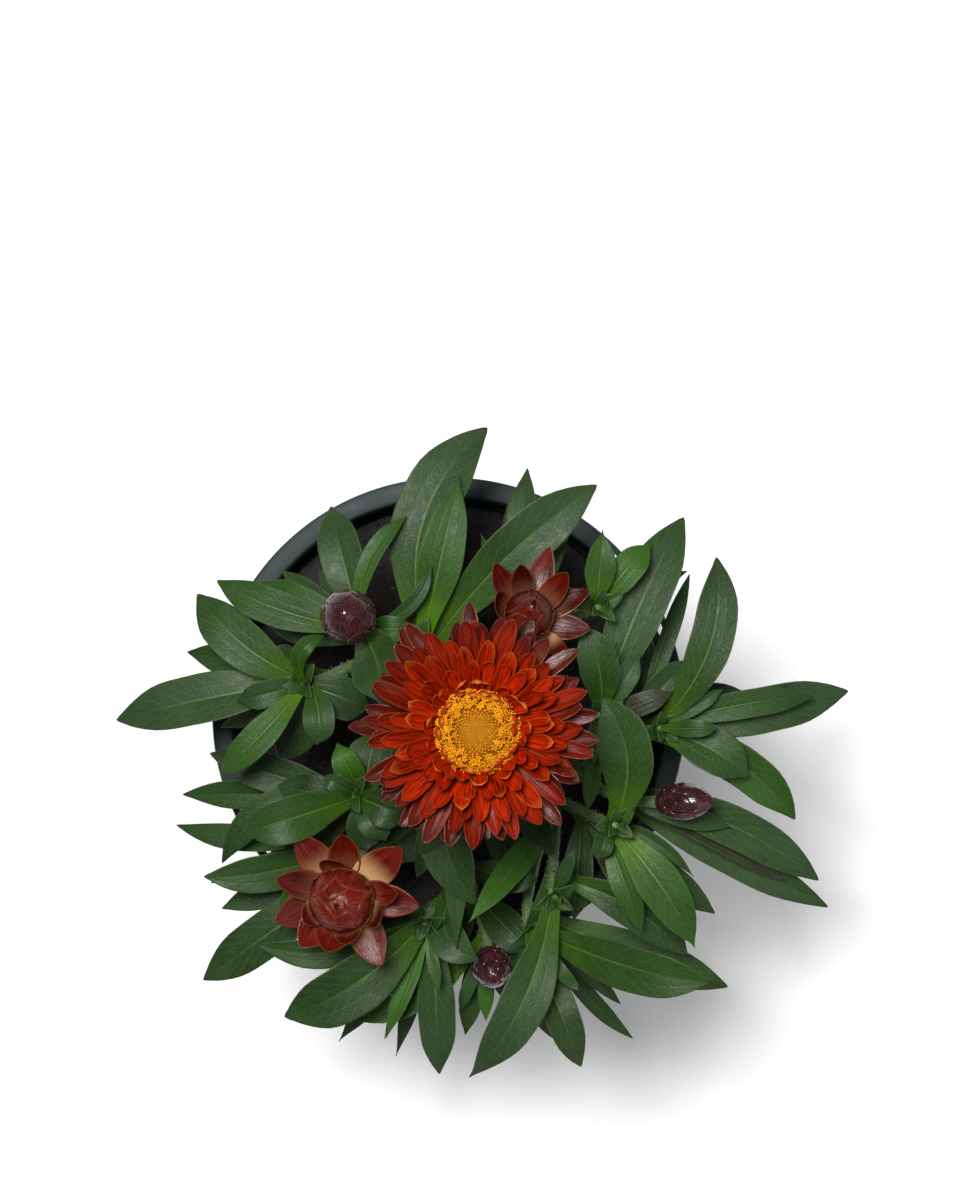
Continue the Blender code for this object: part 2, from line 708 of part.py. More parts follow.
def leaf_blade(leaf, name, collection):
    length = (leaf.tip - leaf.foot).length
    rings = []
    for u in LONG_STATIONS if length > LONG_LEAF else SHORT_STATIONS:
        centre, side, face = leaf.frame(u)
        half = max(leaf.width(u), LEAST_HALF_WIDTH)
        edge = face * half * LEAF_FOLD
        lift = face * LEAF_THICKNESS / 2
        rings.append([centre - side * half + edge, centre + lift,
                      centre + side * half + edge, centre - lift])
    return loft(name, rings, leaf.rib(1.0), collection)


def stem_tube(name, stem, collection):
    """A tapered round stem, sunk into the soil or into the stem that it forks from."""
    curve = bpy.data.curves.new(name, "CURVE")
    curve.dimensions = "3D"
    curve.bevel_depth = MM
    curve.bevel_resolution = 1
    curve.use_fill_caps = True
    spline = curve.splines.new("POLY")
    points = [stem.point(t) for t in np.linspace(0.0, 1.0, STEM_POINTS)]
    rooted = (stem.foot.xy - Vector(STEM_FEET[stem.node])).length < 0.01
    if rooted:
        points.insert(0, stem.foot - Vector((0, 0, STEM_DEPTH + STEM_COLLAR)))
    spline.points.add(len(points) - 1)
    for i, (spot, p) in enumerate(zip(spline.points, points)):
        share = i / (len(points) - 1)
        thick = STEM_FOOT_RADIUS if rooted else STEM_FOOT_RADIUS - FORK_THINNING
        spot.co = (*(p * MM), 1.0)
        spot.radius = thick + (STEM_TOP_RADIUS - thick) * share
    made = bpy.data.objects.new(name, curve)
    collection.objects.link(made)
    return finish_shape(made)


def leafy_stem(node, stems, leaves, collection, tools, shade):
    shoots = [stem for stem in stems.values() if stem.node == node]
    base = stem_tube(node, shoots[0], collection)
    for i, shoot in enumerate(shoots[1:]):
        stem_tube(f"{node}_fork_{i}", shoot, tools)
    for i, leaf in enumerate(leaves):
        if leaf.node == node:
            leaf_blade(leaf, f"leaf_{i}", tools)
    made = combine(base, tools, "UNION")
    shade_round(made, shade)
    return made


def arc_points(radius, height, start, turn, length, count):
    """Points (radius, height) of an arc that starts at an angle over level and turns."""
    points = [(radius, height)]
    for i in range(count):
        angle = math.radians(start + turn * (i + 0.5) / count)
        radius += math.cos(angle) * length / count
        height += math.sin(angle) * length / count
        points.append((radius, height))
    return points


def bract(name, around, root, angles, length, width, cup, roll, place, collection):
    """A boat-shaped bract that leaves the head's axis in the direction around."""
    out = Vector((math.cos(around), math.sin(around), 0.0))
    level = Vector((-math.sin(around), math.cos(around), 0.0))
    shares = (0.45, 1.0, 0.8) if length > LONG_BRACT else (0.5, 1.0)
    count = len(shares)
    curve = arc_points(root[0], root[1], angles[0], angles[1], length, count)
    rings = []
    for i, share in enumerate(shares):
        angle = math.radians(angles[0] + angles[1] * i / count)
        face = out * -math.sin(angle) + Vector((0, 0, math.cos(angle)))
        side = level * math.cos(roll) + face * math.sin(roll)
        face = face * math.cos(roll) - level * math.sin(roll)
        centre = out * curve[i][0] + Vector((0, 0, curve[i][1]))
        half = width / 2 * share
        rings.append([place @ p for p in (centre - side * half + face * cup * share,
                                          centre,
                                          centre + side * half + face * cup * share,
                                          centre - face * BRACT_THICKNESS)])
    tip = place @ (out * curve[-1][0] + Vector((0, 0, curve[-1][1])))
    return loft(name, rings, tip, collection)


def head_place(stem):
    """From a head's own millimetres to the layout: its base sits on the stem's top."""
    turn = Vector((0, 0, 1)).rotation_difference(stem.axis).to_matrix().to_4x4()
    return Matrix.Translation(stem.end + stem.axis * GAP) @ turn


def scaly_core(name, core, rings, collection):
    """A turned body whose side carries rows of overlapping scales, as relief."""
    lengths = [0.0]
    for (r0, z0), (r1, z1) in zip(core, core[1:]):
        lengths.append(lengths[-1] + math.hypot(r1 - r0, z1 - z0))

    def profile(t):
        """Radius and height at a share t of the way up from the foot."""
        at = (1.0 - t) * lengths[-1]
        radius = np.interp(at, lengths, [p[0] for p in core])
        return radius, np.interp(at, lengths, [p[1] for p in core])

    def tip_line(row, share):
        across = abs((share + 0.5 * (row % 2)) % 1.0 - 0.5) * 2.0
        return row + 1.0 - 0.7 * across ** 1.6

    work = bmesh.new()
    foot = work.verts.new((0, 0, core[-1][1] * MM))
    crown = work.verts.new((0, 0, core[0][1] * MM))
    bands = []
    for i in range(rings):
        t = (i + 0.9) / (rings + 0.6)
        band = []
        for j in range(SCALE_STEPS):
            angle = math.tau * (j + 0.5 * (i % 2)) / SCALE_STEPS
            share = SCALE_COUNT * angle / math.tau
            level = t * SCALE_ROWS
            row = max(int(level) - 1, 0)
            while level > tip_line(row, share):
                row += 1
            below = tip_line(row - 1, share)
            proud = (level - below) / (tip_line(row, share) - below)
            radius, height = profile(t)
            radius += SCALE_RELIEF * min(max(proud, 0.0), 1.0) * min(1.0, 3.0 * (1.0 - t))
            band.append(work.verts.new((radius * math.cos(angle) * MM,
                                        radius * math.sin(angle) * MM, height * MM)))
        bands.append(band)
    for j in range(SCALE_STEPS):
        k = (j + 1) % SCALE_STEPS
        work.faces.new((foot, bands[0][k], bands[0][j]))
        work.faces.new((crown, bands[-1][j], bands[-1][k]))
    for i, (low, high) in enumerate(zip(bands, bands[1:])):
        for j in range(SCALE_STEPS):
            k = (j + 1) % SCALE_STEPS
            if i % 2:
                work.faces.new((low[j], low[k], high[k]))
                work.faces.new((low[j], high[k], high[j]))
            else:
                work.faces.new((low[j], low[k], high[j]))
                work.faces.new((low[k], high[k], high[j]))
    bmesh.ops.recalc_face_normals(work, faces=work.faces)
    mesh = bpy.data.meshes.new(name)
    work.to_mesh(mesh)
    work.free()
    return add_object(name, mesh, collection)


def set_in_place(base, place):
    """Move a mesh drawn in a head's own millimetres to its place in the layout."""
    scale = Matrix.Scale(MM, 4)
    base.data.transform(scale @ place @ scale.inverted())


def bracts(layers, place, tools):
    for n, (count, phase, root, angles, length, width, cup) in enumerate(layers):
        for i in range(count):
            sway = math.sin(2.4 * i + 1.3 * n)
            around = math.tau * (i + phase) / count
            turned_up = (angles[0] + BRACT_SWAY * sway, angles[1])
            longer = length * (1.0 + 0.05 * math.sin(3.7 * i + n))
            roll = BRACT_ROLL * (1.0 + 0.4 * sway)
            bract(f"bract_{n}_{i}", around, root, turned_up, longer, width, cup, roll, place,
                  tools)


def make_open_flower(place, parts, tools, shade):
    base = finish_shape(turned("flower_bracts", OPEN_CORE, RECEPTACLE_STEPS, parts))
    set_in_place(base, place)
    bracts(OPEN_LAYERS, place, tools)
    shade_round(combine(base, tools, "UNION"), shade)


def make_half_open(name, core, layers, place, parts, tools, shade):
    """A half-open flower: a dome of closed scales in a ring of spread bracts."""
    base = scaly_core(name, core, DOME_RINGS, parts)
    set_in_place(base, place)
    bracts(layers, place, tools)
    shade_round(combine(base, tools, "UNION"), shade)


def make_bud(name, core, place, parts, shade):
    bud = scaly_core(name, core, BUD_RINGS, parts)
    set_in_place(bud, place)
    shade_round(bud, shade)


def polar_body(name, radius, low, rings, segments, top, collection):
    """A closed round body with a flat base at height low and a top height(radius, angle)."""
    work = bmesh.new()
    centre = work.verts.new((0, 0, top(0.0, 0.0) * MM))
    rows = []
    for i in range(1, rings + 1):
        r = radius * i / rings
        row = []
        for j in range(segments):
            a = math.tau * (j + 0.5 * (i % 2)) / segments
            row.append(work.verts.new((r * math.cos(a) * MM, r * math.sin(a) * MM, top(r, a) * MM)))
        rows.append(row)
    base = [work.verts.new((v.co.x, v.co.y, low * MM)) for v in rows[-1]]
    for j in range(segments):
        k = (j + 1) % segments
        work.faces.new((centre, rows[0][j], rows[0][k]))
        work.faces.new((rows[-1][j], base[j], base[k], rows[-1][k]))
    for i in range(rings - 1):
        inner, outer = rows[i], rows[i + 1]
        shift = 0 if i % 2 else 1
        for j in range(segments):
            k = (j + 1) % segments
            if shift:
                work.faces.new((inner[j], outer[k], inner[k]))
                work.faces.new((inner[j], outer[j], outer[k]))
            else:
                work.faces.new((inner[j], outer[j], inner[k]))
                work.faces.new((inner[k], outer[j], outer[k]))
    work.faces.new(base)
    bmesh.ops.recalc_face_normals(work, faces=work.faces)
    mesh = bpy.data.meshes.new(name)
    work.to_mesh(mesh)
    work.free()
    return add_object(name, mesh, collection)


def pot_profile():
    """The pot's section (radius, height): up its inside, over the rim, down its outside."""
    top = POT_HEIGHT
    wall_top = RIM_RADIUS - RIM_BAND
    shoulder = top - SHOULDER_DEPTH
    return [
        (0, FLOOR), (BASE_RADIUS - WALL - 1.5, FLOOR), (BASE_RADIUS - WALL, FLOOR + 1.6),
        (wall_top - SHOULDER_STEP - 1.4, shoulder - 1.0), (wall_top - SHOULDER_STEP + 0.2, shoulder),
        (wall_top - RIM_EDGE, top), (RIM_RADIUS - RIM_EDGE, top), (RIM_RADIUS, top - RIM_EDGE - 0.2),
        (RIM_RADIUS - 0.3, top - SKIRT_DEPTH), (RIM_RADIUS - 0.2 - SKIRT_THICKNESS, top - SKIRT_DEPTH),
        (RIM_RADIUS - SKIRT_THICKNESS, top - WALL), (wall_top + WALL - RIM_EDGE, top - WALL),
        (wall_top + 0.2, shoulder), (BASE_RADIUS, BASE_BEVEL), (BASE_RADIUS - BASE_BEVEL, 0),
        (0, 0),
    ]


def add_slot(name, start, collection):
    """A curved bar that cuts one slot through the rim's top face."""
    work = bmesh.new()
    rows = []
    for i in range(SLOT_STEPS + 1):
        angle = start + math.radians(SLOT_END - SLOT_START) * i / SLOT_STEPS
        out = Vector((math.cos(angle), math.sin(angle), 0.0)) * MM
        low = Vector((0, 0, POT_HEIGHT - SLOT_DEPTH)) * MM
        high = Vector((0, 0, POT_HEIGHT + SLOT_DEPTH)) * MM
        rows.append([work.verts.new(p) for p in (out * SLOT_INNER + low, out * SLOT_OUTER + low,
                                                 out * SLOT_OUTER + high, out * SLOT_INNER + high)])
    for a, b in zip(rows, rows[1:]):
        for j in range(4):
            k = (j + 1) % 4
            work.faces.new((a[j], a[k], b[k], b[j]))
    work.faces.new(rows[0])
    work.faces.new(rows[-1])
    bmesh.ops.recalc_face_normals(work, faces=work.faces)
    mesh = bpy.data.meshes.new(name)
    work.to_mesh(mesh)
    work.free()
    add_object(name, mesh, collection)


def add_rod(name, x, y, height, radius, length, sides, collection):
    """An upright rod whose middle is at a height, as a cutter."""
    place = Matrix.Translation((x * MM, y * MM, height * MM))
    work = bmesh.new()
    bmesh.ops.create_cone(work, cap_ends=True, segments=sides, radius1=radius * MM,
                          radius2=radius * MM, depth=length * MM, matrix=place)
    mesh = bpy.data.meshes.new(name)
    work.to_mesh(mesh)
    work.free()
    add_object(name, mesh, collection)


def make_pot(parts, tools, shade):
    pot = finish_shape(turned("pot", pot_profile(), POT_STEPS, parts))
    for i in range(2):
        add_slot(f"slot_{i}", math.radians(SLOT_START + 180.0 * i), tools)
    for i in range(DRAIN_COUNT):
        angle = math.tau * (i + 0.5) / DRAIN_COUNT
        add_rod(f"drain_{i}", DRAIN_RING * math.cos(angle), DRAIN_RING * math.sin(angle), 0.0,
                DRAIN_RADIUS, DRAIN_CUT, DRAIN_SIDES, tools)
    shade_round(combine(pot, tools, "DIFFERENCE"), shade)


def soil_height(radius, angle):
    lump = math.sin(radius * 0.31 + 2.1 * math.sin(3 * angle)) + math.sin(5 * angle + radius * 0.17)
    fade = min(radius / 12.0, 1.0)
    return POT_HEIGHT - SOIL_DROP + SOIL_LUMP * 0.5 * lump * fade


def make_soil(parts, tools, shade):
    top_radius = RIM_RADIUS - RIM_BAND - SHOULDER_STEP - 1.4 - SOIL_SIDE_GAP
    low_radius = BASE_RADIUS - WALL - 2.0
    soil = polar_body("soil", top_radius, FLOOR + GAP, 5, 24, soil_height, parts)
    for vertex in soil.data.vertices:
        if vertex.co.z < POT_HEIGHT / 2 * MM:
            vertex.co.x *= low_radius / top_radius
            vertex.co.y *= low_radius / top_radius
    for i, (x, y) in enumerate(STEM_FEET.values()):
        add_rod(f"stem_hole_{i}", x, y, POT_HEIGHT - SOIL_DROP, STEM_FOOT_RADIUS + 2 * GAP,
                2 * (STEM_DEPTH + GAP), STEM_HOLE_SIDES, tools)
    shade_round(combine(soil, tools, "DIFFERENCE"), shade)


def disc_height(radius, angle):
    """The disc: a low dome with a ring of open florets round finer closed ones."""
    dome = DISC_HEIGHT * math.sqrt(max(1.0 - (radius / (DISC_RADIUS + 1.5)) ** 2, 0.0))
    outer = radius > DISC_RADIUS * 0.55
    bump = 0.5 if outer else 0.25
    if radius > DISC_RADIUS * 0.95:
        return dome * 0.6
    return dome + bump * math.cos(18 * angle) * math.cos(radius * 2.2)


def make_disc(parts, place, shade):
    disc = polar_body("flower_disc", DISC_RADIUS, 0.0, 7, 30,
                      lambda radius, angle: DISC_BASE + disc_height(radius, angle), parts)
    set_in_place(disc, place @ Matrix.Translation((0, 0, RECEPTACLE_TOP + GAP)))
    shade_round(disc, shade)


def main():
    for old in list(bpy.data.objects):
        bpy.data.objects.remove(old)
    parts = bpy.data.collections.new("potted_strawflower")
    tools = bpy.data.collections.new("tools")
    for group in (parts, tools):
        bpy.context.scene.collection.children.link(group)

    slate = material("pot_plastic", (0.045, 0.062, 0.066), 0.5)
    earth = material("soil", (0.022, 0.014, 0.010), 0.95)
    green = material("leaf_green", (0.075, 0.150, 0.055), 0.55)
    red = material("bract_red", (0.50, 0.035, 0.010), 0.4)
    gold = material("disc_gold", (0.75, 0.32, 0.03), 0.7)
    russet = material("bract_russet", (0.22, 0.030, 0.018), 0.4)
    plum = material("bud_plum", (0.060, 0.018, 0.020), 0.4)

    stems = make_stems()
    leaves = make_leaves(stems)
    settle(leaves, stems)

    make_pot(parts, tools, slate)
    make_soil(parts, tools, earth)
    for node in STEM_FEET:
        leafy_stem(node, stems, leaves, parts, tools, green)
    place = head_place(stems["main"])
    make_open_flower(place, parts, tools, red)
    make_disc(parts, place, gold)
    make_half_open("flower_north", NORTH_CORE, NORTH_LAYERS, head_place(stems["n"]),
                   parts, tools, russet)
    make_half_open("flower_south_west", SOUTH_WEST_CORE, SOUTH_WEST_LAYERS,
                   head_place(stems["sw"]), parts, tools, russet)
    for name, (shoot, wide, tall) in BUDS.items():
        core = [(radius * wide, height * tall) for radius, height in BUD_CORE]
        make_bud(name, core, head_place(stems[shoot]), parts, plum)
    bpy.data.collections.remove(tools)


main()
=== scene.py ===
import itertools
import json
import math
import random
import bmesh
import bpy
import numpy as np
from mathutils import Matrix, Vector, noise

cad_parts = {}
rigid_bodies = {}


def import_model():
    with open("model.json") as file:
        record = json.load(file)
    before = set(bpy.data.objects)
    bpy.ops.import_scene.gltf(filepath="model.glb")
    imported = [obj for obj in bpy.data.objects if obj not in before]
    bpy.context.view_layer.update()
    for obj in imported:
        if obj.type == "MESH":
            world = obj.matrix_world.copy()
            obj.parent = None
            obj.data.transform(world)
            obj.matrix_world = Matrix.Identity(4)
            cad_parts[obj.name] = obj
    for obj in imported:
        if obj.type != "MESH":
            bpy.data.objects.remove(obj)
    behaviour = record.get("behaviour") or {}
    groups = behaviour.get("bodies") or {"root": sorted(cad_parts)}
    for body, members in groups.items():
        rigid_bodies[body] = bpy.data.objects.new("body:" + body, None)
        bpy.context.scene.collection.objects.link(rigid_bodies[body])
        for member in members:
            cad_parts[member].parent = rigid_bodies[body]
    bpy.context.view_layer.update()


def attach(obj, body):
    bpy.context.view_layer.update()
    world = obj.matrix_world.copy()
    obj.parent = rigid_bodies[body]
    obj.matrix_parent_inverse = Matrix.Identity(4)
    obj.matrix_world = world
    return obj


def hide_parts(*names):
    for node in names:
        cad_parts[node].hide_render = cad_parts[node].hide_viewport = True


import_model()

# A strawflower plant in a plastic pot with slots in its rim. The layout repeats the part's own
# numbers, in millimetres, and each piece stands in the place of the node that it replaces.
MM = 0.001

# Pot: its sizes, the ends of a slot in degrees, its number of sides, and how far a slot's
# cutter reaches over and under the rim's top
RIM_RADIUS = 70.0
POT_HEIGHT = 122.0
BASE_RADIUS = 51.0
WALL = 1.6
RIM_BAND = 5.0
SKIRT_DEPTH = 9.0
SLOT_START = 21.0
SLOT_END = 43.6
SLOT_INNER = 66.4
SLOT_OUTER = 68.2
DRAIN_COUNT = 6
DRAIN_RADIUS = 4.5
DRAIN_RING = 37.0
POT_SIDES = 160
SLOT_CUT = 4

# Soil: its drop under the rim, its rings, sides and crumbs, the collar where a stem leaves it,
# and the gap between pieces
SOIL_DROP = 16.0
SOIL_RINGS = 56
SOIL_SIDES = 150
CRUMBS = 1500
STEM_COLLAR = 2.5
GAP = 0.3

# The point that the plant is seen from, over the plane of the rim, and the height of the
# picture on that plane
VIEW_X = 9.2
VIEW_Y = 33.7
VIEW_HEIGHT = 850.0
SEEN_HEIGHT = 354.48

# Studio, in metres: half the floor's side, the point that is lit, and for each light its
# place, its size and its power in watts
FLOOR_HALF = 3.0
LIT_POINT = Vector((0, 0, 0.16))
LIGHTS = {
    "key": ((-0.17, 0.25, 1.35), 0.36, 21.5),
    "fill": ((0.8, -0.6, 1.1), 1.4, 5.0),
}

# Leaves and stems
LEAF_FOLD = 0.22
STEM_FOOT_RADIUS = 2.3
STEM_TOP_RADIUS = 1.5

# Settling of the leaves: least heights between them and from stems, cells of the ground that
# are compared, the foot of each leaf that is free, and how far one round may move a leaf
LEAF_CLEARANCE = 2.3
STEM_CLEARANCE = 2.5
CELL = 2.0
FREE_FOOT = 0.22
SETTLE_ROUNDS = 240
SETTLE_SHARE = 0.6
TIP_STEP = 0.8
ARCH_STEP = 0.5
ARCH_RANGE = (-4.0, 14.0)

# A leaf's outline: its width at the foot, where it is widest, and for a rounded and for a
# pointed leaf the place where its tip begins and how fast that narrows
FOOT_SHARE = 0.32
WIDEST = 0.55
ROUNDED = (0.52, 0.66)
POINTED = (0.42, 0.95)
POINTED_ROWS = {
    "main": (1,), "n": (1, 2, 3), "nn": (1,), "ne": (0, 1), "ssw": (1, 2, 3, 4),
    "se": (0, 1, 3, 6), "s": (0, 2),
}

# Open flower
FLOWER_HEIGHT = 92.0
RECEPTACLE_RADIUS = 9.9
RECEPTACLE_TOP = 5.7

# Where each leafy stem stands in the soil
STEM_FEET = {
    "stem_centre": (6, -3),
    "stem_north": (10, 16),
    "stem_west": (-14, 10),
    "stem_south_west": (-16, -10),
    "stem_south": (-2, -22),
    "stem_south_east": (16, -18),
    "stem_east": (24, 2),
}

# Shoots: stem, share of the stem below the fork, seen top (x, y), height, lean (x, y).
# A share of 0 is the stem itself.
SHOOTS = {
    "main": ("stem_centre", 0.0, (8.3, -4.7), FLOWER_HEIGHT, (0.0, 0.0)),
    "n": ("stem_north", 0.0, (22.5, 27.0), 68, (0.12, 0.30)),
    "nn": ("stem_north", 0.35, (-9, 21), 50, (-0.2, 0.1)),
    "ne": ("stem_north", 0.45, (44, 31.6), 58, (0.3, 0.1)),
    "nw": ("stem_west", 0.0, (-28.4, 27.5), 64, (-0.1, 0.15)),
    "wnw": ("stem_west", 0.35, (-43, 9), 46, (-0.4, 0.0)),
    "sw": ("stem_south_west", 0.0, (-30.7, -53.0), 52, (-0.1, -0.15)),
    "w": ("stem_south_west", 0.35, (-28, -24), 42, (-0.4, 0.0)),
    "s2": ("stem_south", 0.0, (12.1, -71.0), 20, (0.1, -0.5)),
    "ssw": ("stem_south", 0.4, (-7, -62), 32, (-0.2, -0.5)),
    "se": ("stem_south_east", 0.0, (49, -32.8), 52, (0.2, 0.0)),
    "s": ("stem_south_east", 0.35, (31, -54), 42, (0.1, -0.4)),
    "s3": ("stem_south_east", 0.3, (24, -64), 26, (0.3, -0.5)),
    "e3": ("stem_east", 0.0, (61.5, -26.0), 40, (1.9, 0.1)),
    "e1": ("stem_east", 0.4, (44.6, -0.3), 54, (0.0, 0.1)),
    "e2": ("stem_east", 0.45, (62.3, -4.1), 48, (0.4, 0.0)),
}

# Leaves of each shoot: place along the shoot, seen tip (x, y), tip height, width, arch, bow
LEAVES = {
    "main": [
        (0.58, 7.5, -55.5, 44, 14, 8, -9), (0.60, 2.5, -68, 36, 8, 6, -2),
        (0.70, -17, -22, 54, 8, 4, 0), (0.76, 24, -24, 62, 8, 4, 0), (0.82, 20, 13, 68, 6, 3, 0),
        (0.86, -6, 8, 72, 6, 3, 0), (0.50, -9, -48, 34, 10, 6, 0), (0.45, 20, -52, 30, 10, 6, 0),
        (0.42, -22, -40, 28, 10, 6, 0), (0.40, 30, -40, 28, 10, 6, 0), (0.62, -8, -40, 50, 10, 8, 0),
    ],
    "n": [
        (0.62, 23, 72, 40, 9, 7, 0), (0.70, 36, 59, 40, 7, 5, 0), (0.84, 30, 50, 44, 5.5, 3, 0),
        (0.84, 9.5, 53, 40, 6, 3, 0), (0.62, 18.5, 64, 34, 6, 5, 0),
    ],
    "nn": [
        (0.85, 10.6, 84, 48, 17, 9, 10), (0.93, 3, 69, 54, 13, 7, 0), (0.80, 43, 67, 56, 15, 8, 3),
        (0.70, 25, 54, 32, 10, 5, 0),
    ],
    "ne": [
        (0.97, 45.5, 53.5, 64, 9, 3, 0), (0.90, 31, 38, 58, 4.7, 4, 0), (0.90, 59, 50, 56, 9, 4, 0),
        (0.70, 70, 42, 34, 5, 3, 0),
    ],
    "nw": [
        (0.80, -35, 61, 44, 12.4, 6, 0), (0.86, -68, 39, 50, 10.3, 5, 2), (0.74, -55, 39, 38, 9, 4, 0),
        (0.86, -13, 58, 54, 5.5, 4, 4.5), (0.88, -20, 3, 99, 15, 14, 2),
        (0.86, -10.6, 25, 56, 7.4, 3, 0), (0.60, -49, 42, 28, 7, 4, 0), (0.52, -38, 42, 22, 7, 3, 0),
        (0.66, -53, 26, 32, 8, 4, 0), (0.84, -5, 43, 56, 4, 4, -4),
    ],
    "wnw": [
        (0.90, -74, 35, 42, 13.3, 6, 3), (0.70, -77, 18, 28, 10, 4, 0),
        (0.80, -98, -1.5, 30, 14.5, 7, -1), (0.86, -62, 4, 44, 8, 4, 0), (0.93, -39, -8.5, 48, 9, 5, 2),
        (0.97, -67, -17, 46, 9, 5, 1), (0.60, -67, -4, 24, 7.4, 4, 0), (0.98, -37, 23, 56, 5, 6, 4),
        (0.98, -24, 2, 44, 12, 3, 0), (0.62, -50, -13, 26, 12, 4, 0), (0.90, -52, 20, 34, 8, 4, 0),
    ],
    "sw": [
        (0.60, -71.5, -48.4, 42, 11.2, 5, 2), (0.52, -70, -50, 24, 6, 3, 0),
        (0.70, -67, -58, 30, 9, 4, 0), (0.86, -50, -60, 50, 4.5, 4, -6),
        (0.78, -72, -78, 26, 13.3, 6, 0),
    ],
    "w": [
        (0.90, -59, -33.5, 44, 13, 5, 0), (0.55, -70, -12, 28, 11, 5, 0),
        (0.70, -67, -43.5, 26, 9, 5, -9), (0.45, -78, -24, 18, 9, 5, -2), (0.50, -80, -33, 14, 8, 4, 6),
        (0.60, -33, -9, 46, 8, 5, 0), (0.85, -36, -18, 42, 6, 3, 0), (0.90, -19, -37, 42, 9, 4, 0),
        (0.75, -13, -13, 36, 13, 5, 0), (0.62, -11, -44, 22, 14, 5, 0), (0.45, -58, -23, 10, 9, 5, 0),
        (0.66, -48, -40, 24, 10, 5, 0), (0.80, -50, -21, 32, 10, 5, 0), (0.90, -24, -40, 34, 10, 4, 0),
        (0.80, -22, -6, 40, 13, 6, 0), (0.97, -12, -30, 46, 11, 5, 0),
    ],
    "s2": [
        (0.80, 37, -99, 2, 10.3, 5, 0), (0.90, 3, -87.5, 14, 4, 3, 0), (0.80, 5, -94.5, 8, 7, 4, 0),
        (0.85, 11, -90.4, 12, 5, 3, 0), (0.85, -27, -91, 26, 8.3, 5, 4), (0.70, 20, -86, -2, 9, 4, 0),
        (0.62, 24, -70, 18, 11, 6, 0), (0.62, -4, -70, 18, 11, 6, 0),
    ],
    "ssw": [
        (0.92, -47.6, -89, 32, 17, 7, 3), (0.85, -18.5, -95.5, 34, 6.5, 5, 0),
        (0.75, -32, -96, 8, 8.3, 4, 0), (0.70, -19, -96, 4, 6, 4, 0),
        (0.65, -16, -102.5, -2, 6.5, 4, 0), (0.85, -2.7, -105, 12, 11, 6, 0),
        (0.97, -3, -81, 30, 3.5, 3, 0), (0.25, 8, -73, 42, 11, 9, -7),
        (0.90, -55.5, -68.3, 40, 9, 5, 5), (0.60, -26, -74, 18, 10, 5, 0), (0.10, 26, -50, 50, 9, 9, 0),
    ],
    "se": [
        (0.92, 72.5, -68.5, 44, 13, 7, 2), (0.85, 57, -64.5, 42, 8.3, 6, 0),
        (0.93, 44, -43, 50, 6, 3, 0), (0.80, 72, -48, 40, 4.5, 4, 3), (0.70, 78, -58.5, 30, 9, 4, 0),
        (0.97, 46, 4, 66, 15, 4, -5), (0.50, 6.5, -60, 46, 8.5, 6, 0), (0.60, 62, -66, 24, 7, 4, 0),
        (0.55, 69, -60, 14, 10, 4, 0), (0.66, 37, -60, 28, 9, 4, 0),
    ],
    "s": [
        (0.95, 6.5, -105.8, 34, 14.8, 9, 4), (0.80, 70, -71, 30, 11, 6, 4),
        (0.97, 37, -40, 52, 4.5, 3, 0), (0.66, 22, -84, 12, 9, 4, 0),
    ],
    "s3": [
        (0.95, 72.4, -73.3, 30, 13.3, 6, -1), (0.85, 82, -81, 16, 12, 6, 0),
        (0.80, 50.5, -85.7, 12, 5, 4, 0), (0.75, 54, -95.7, 4, 5.5, 4, -3),
        (0.90, 38, -99, 6, 10, 5, 0), (0.90, 33, -92.5, 10, 4, 4, 0), (0.95, 37.8, -79.2, 24, 4, 4, 0),
    ],
    "e3": [
        (0.74, 109, -49, 22, 12, 5, 5), (0.60, 111.5, -57, 14, 11, 5, 0),
        (0.70, 99, -49, 18, 6.5, 4, 2), (0.80, 82, -33, 28, 7, 3, 0),
    ],
    "e1": [
        (0.93, 40, 25.4, 62, 11, 4, -2), (0.80, 69, 57.6, 46, 15, 7, 2), (0.95, 56, 17, 56, 7, 3, 0),
        (0.85, 65, 6.5, 50, 6.5, 4, 0), (0.90, 62, 3, 48, 5, 3, 0), (0.90, 41, -28, 48, 5, 4, 0),
        (0.97, 43, -14, 60, 5, 3, 0), (0.70, 55, -20, 34, 10, 4, 0),
    ],
    "e2": [
        (0.93, 79, 45.5, 52, 12, 8, -6), (0.70, 71, 41, 30, 5, 4, 0), (0.75, 72, 15, 40, 9, 4, 3),
        (0.60, 88, 6, 26, 10, 4, 3), (0.80, 117.6, 6.5, 34, 13.3, 7, 0), (0.90, 107, 5, 42, 8, 4, 2),
        (0.93, 88, -18, 52, 13, 4, 2), (0.80, 102, -31, 38, 12, 6, 6), (0.97, 79, -4, 54, 5, 3, 0),
        (0.97, 80.6, 7, 52, 4.5, 3, 0), (0.60, 59, 24, 22, 9, 4, 0),
    ],
}

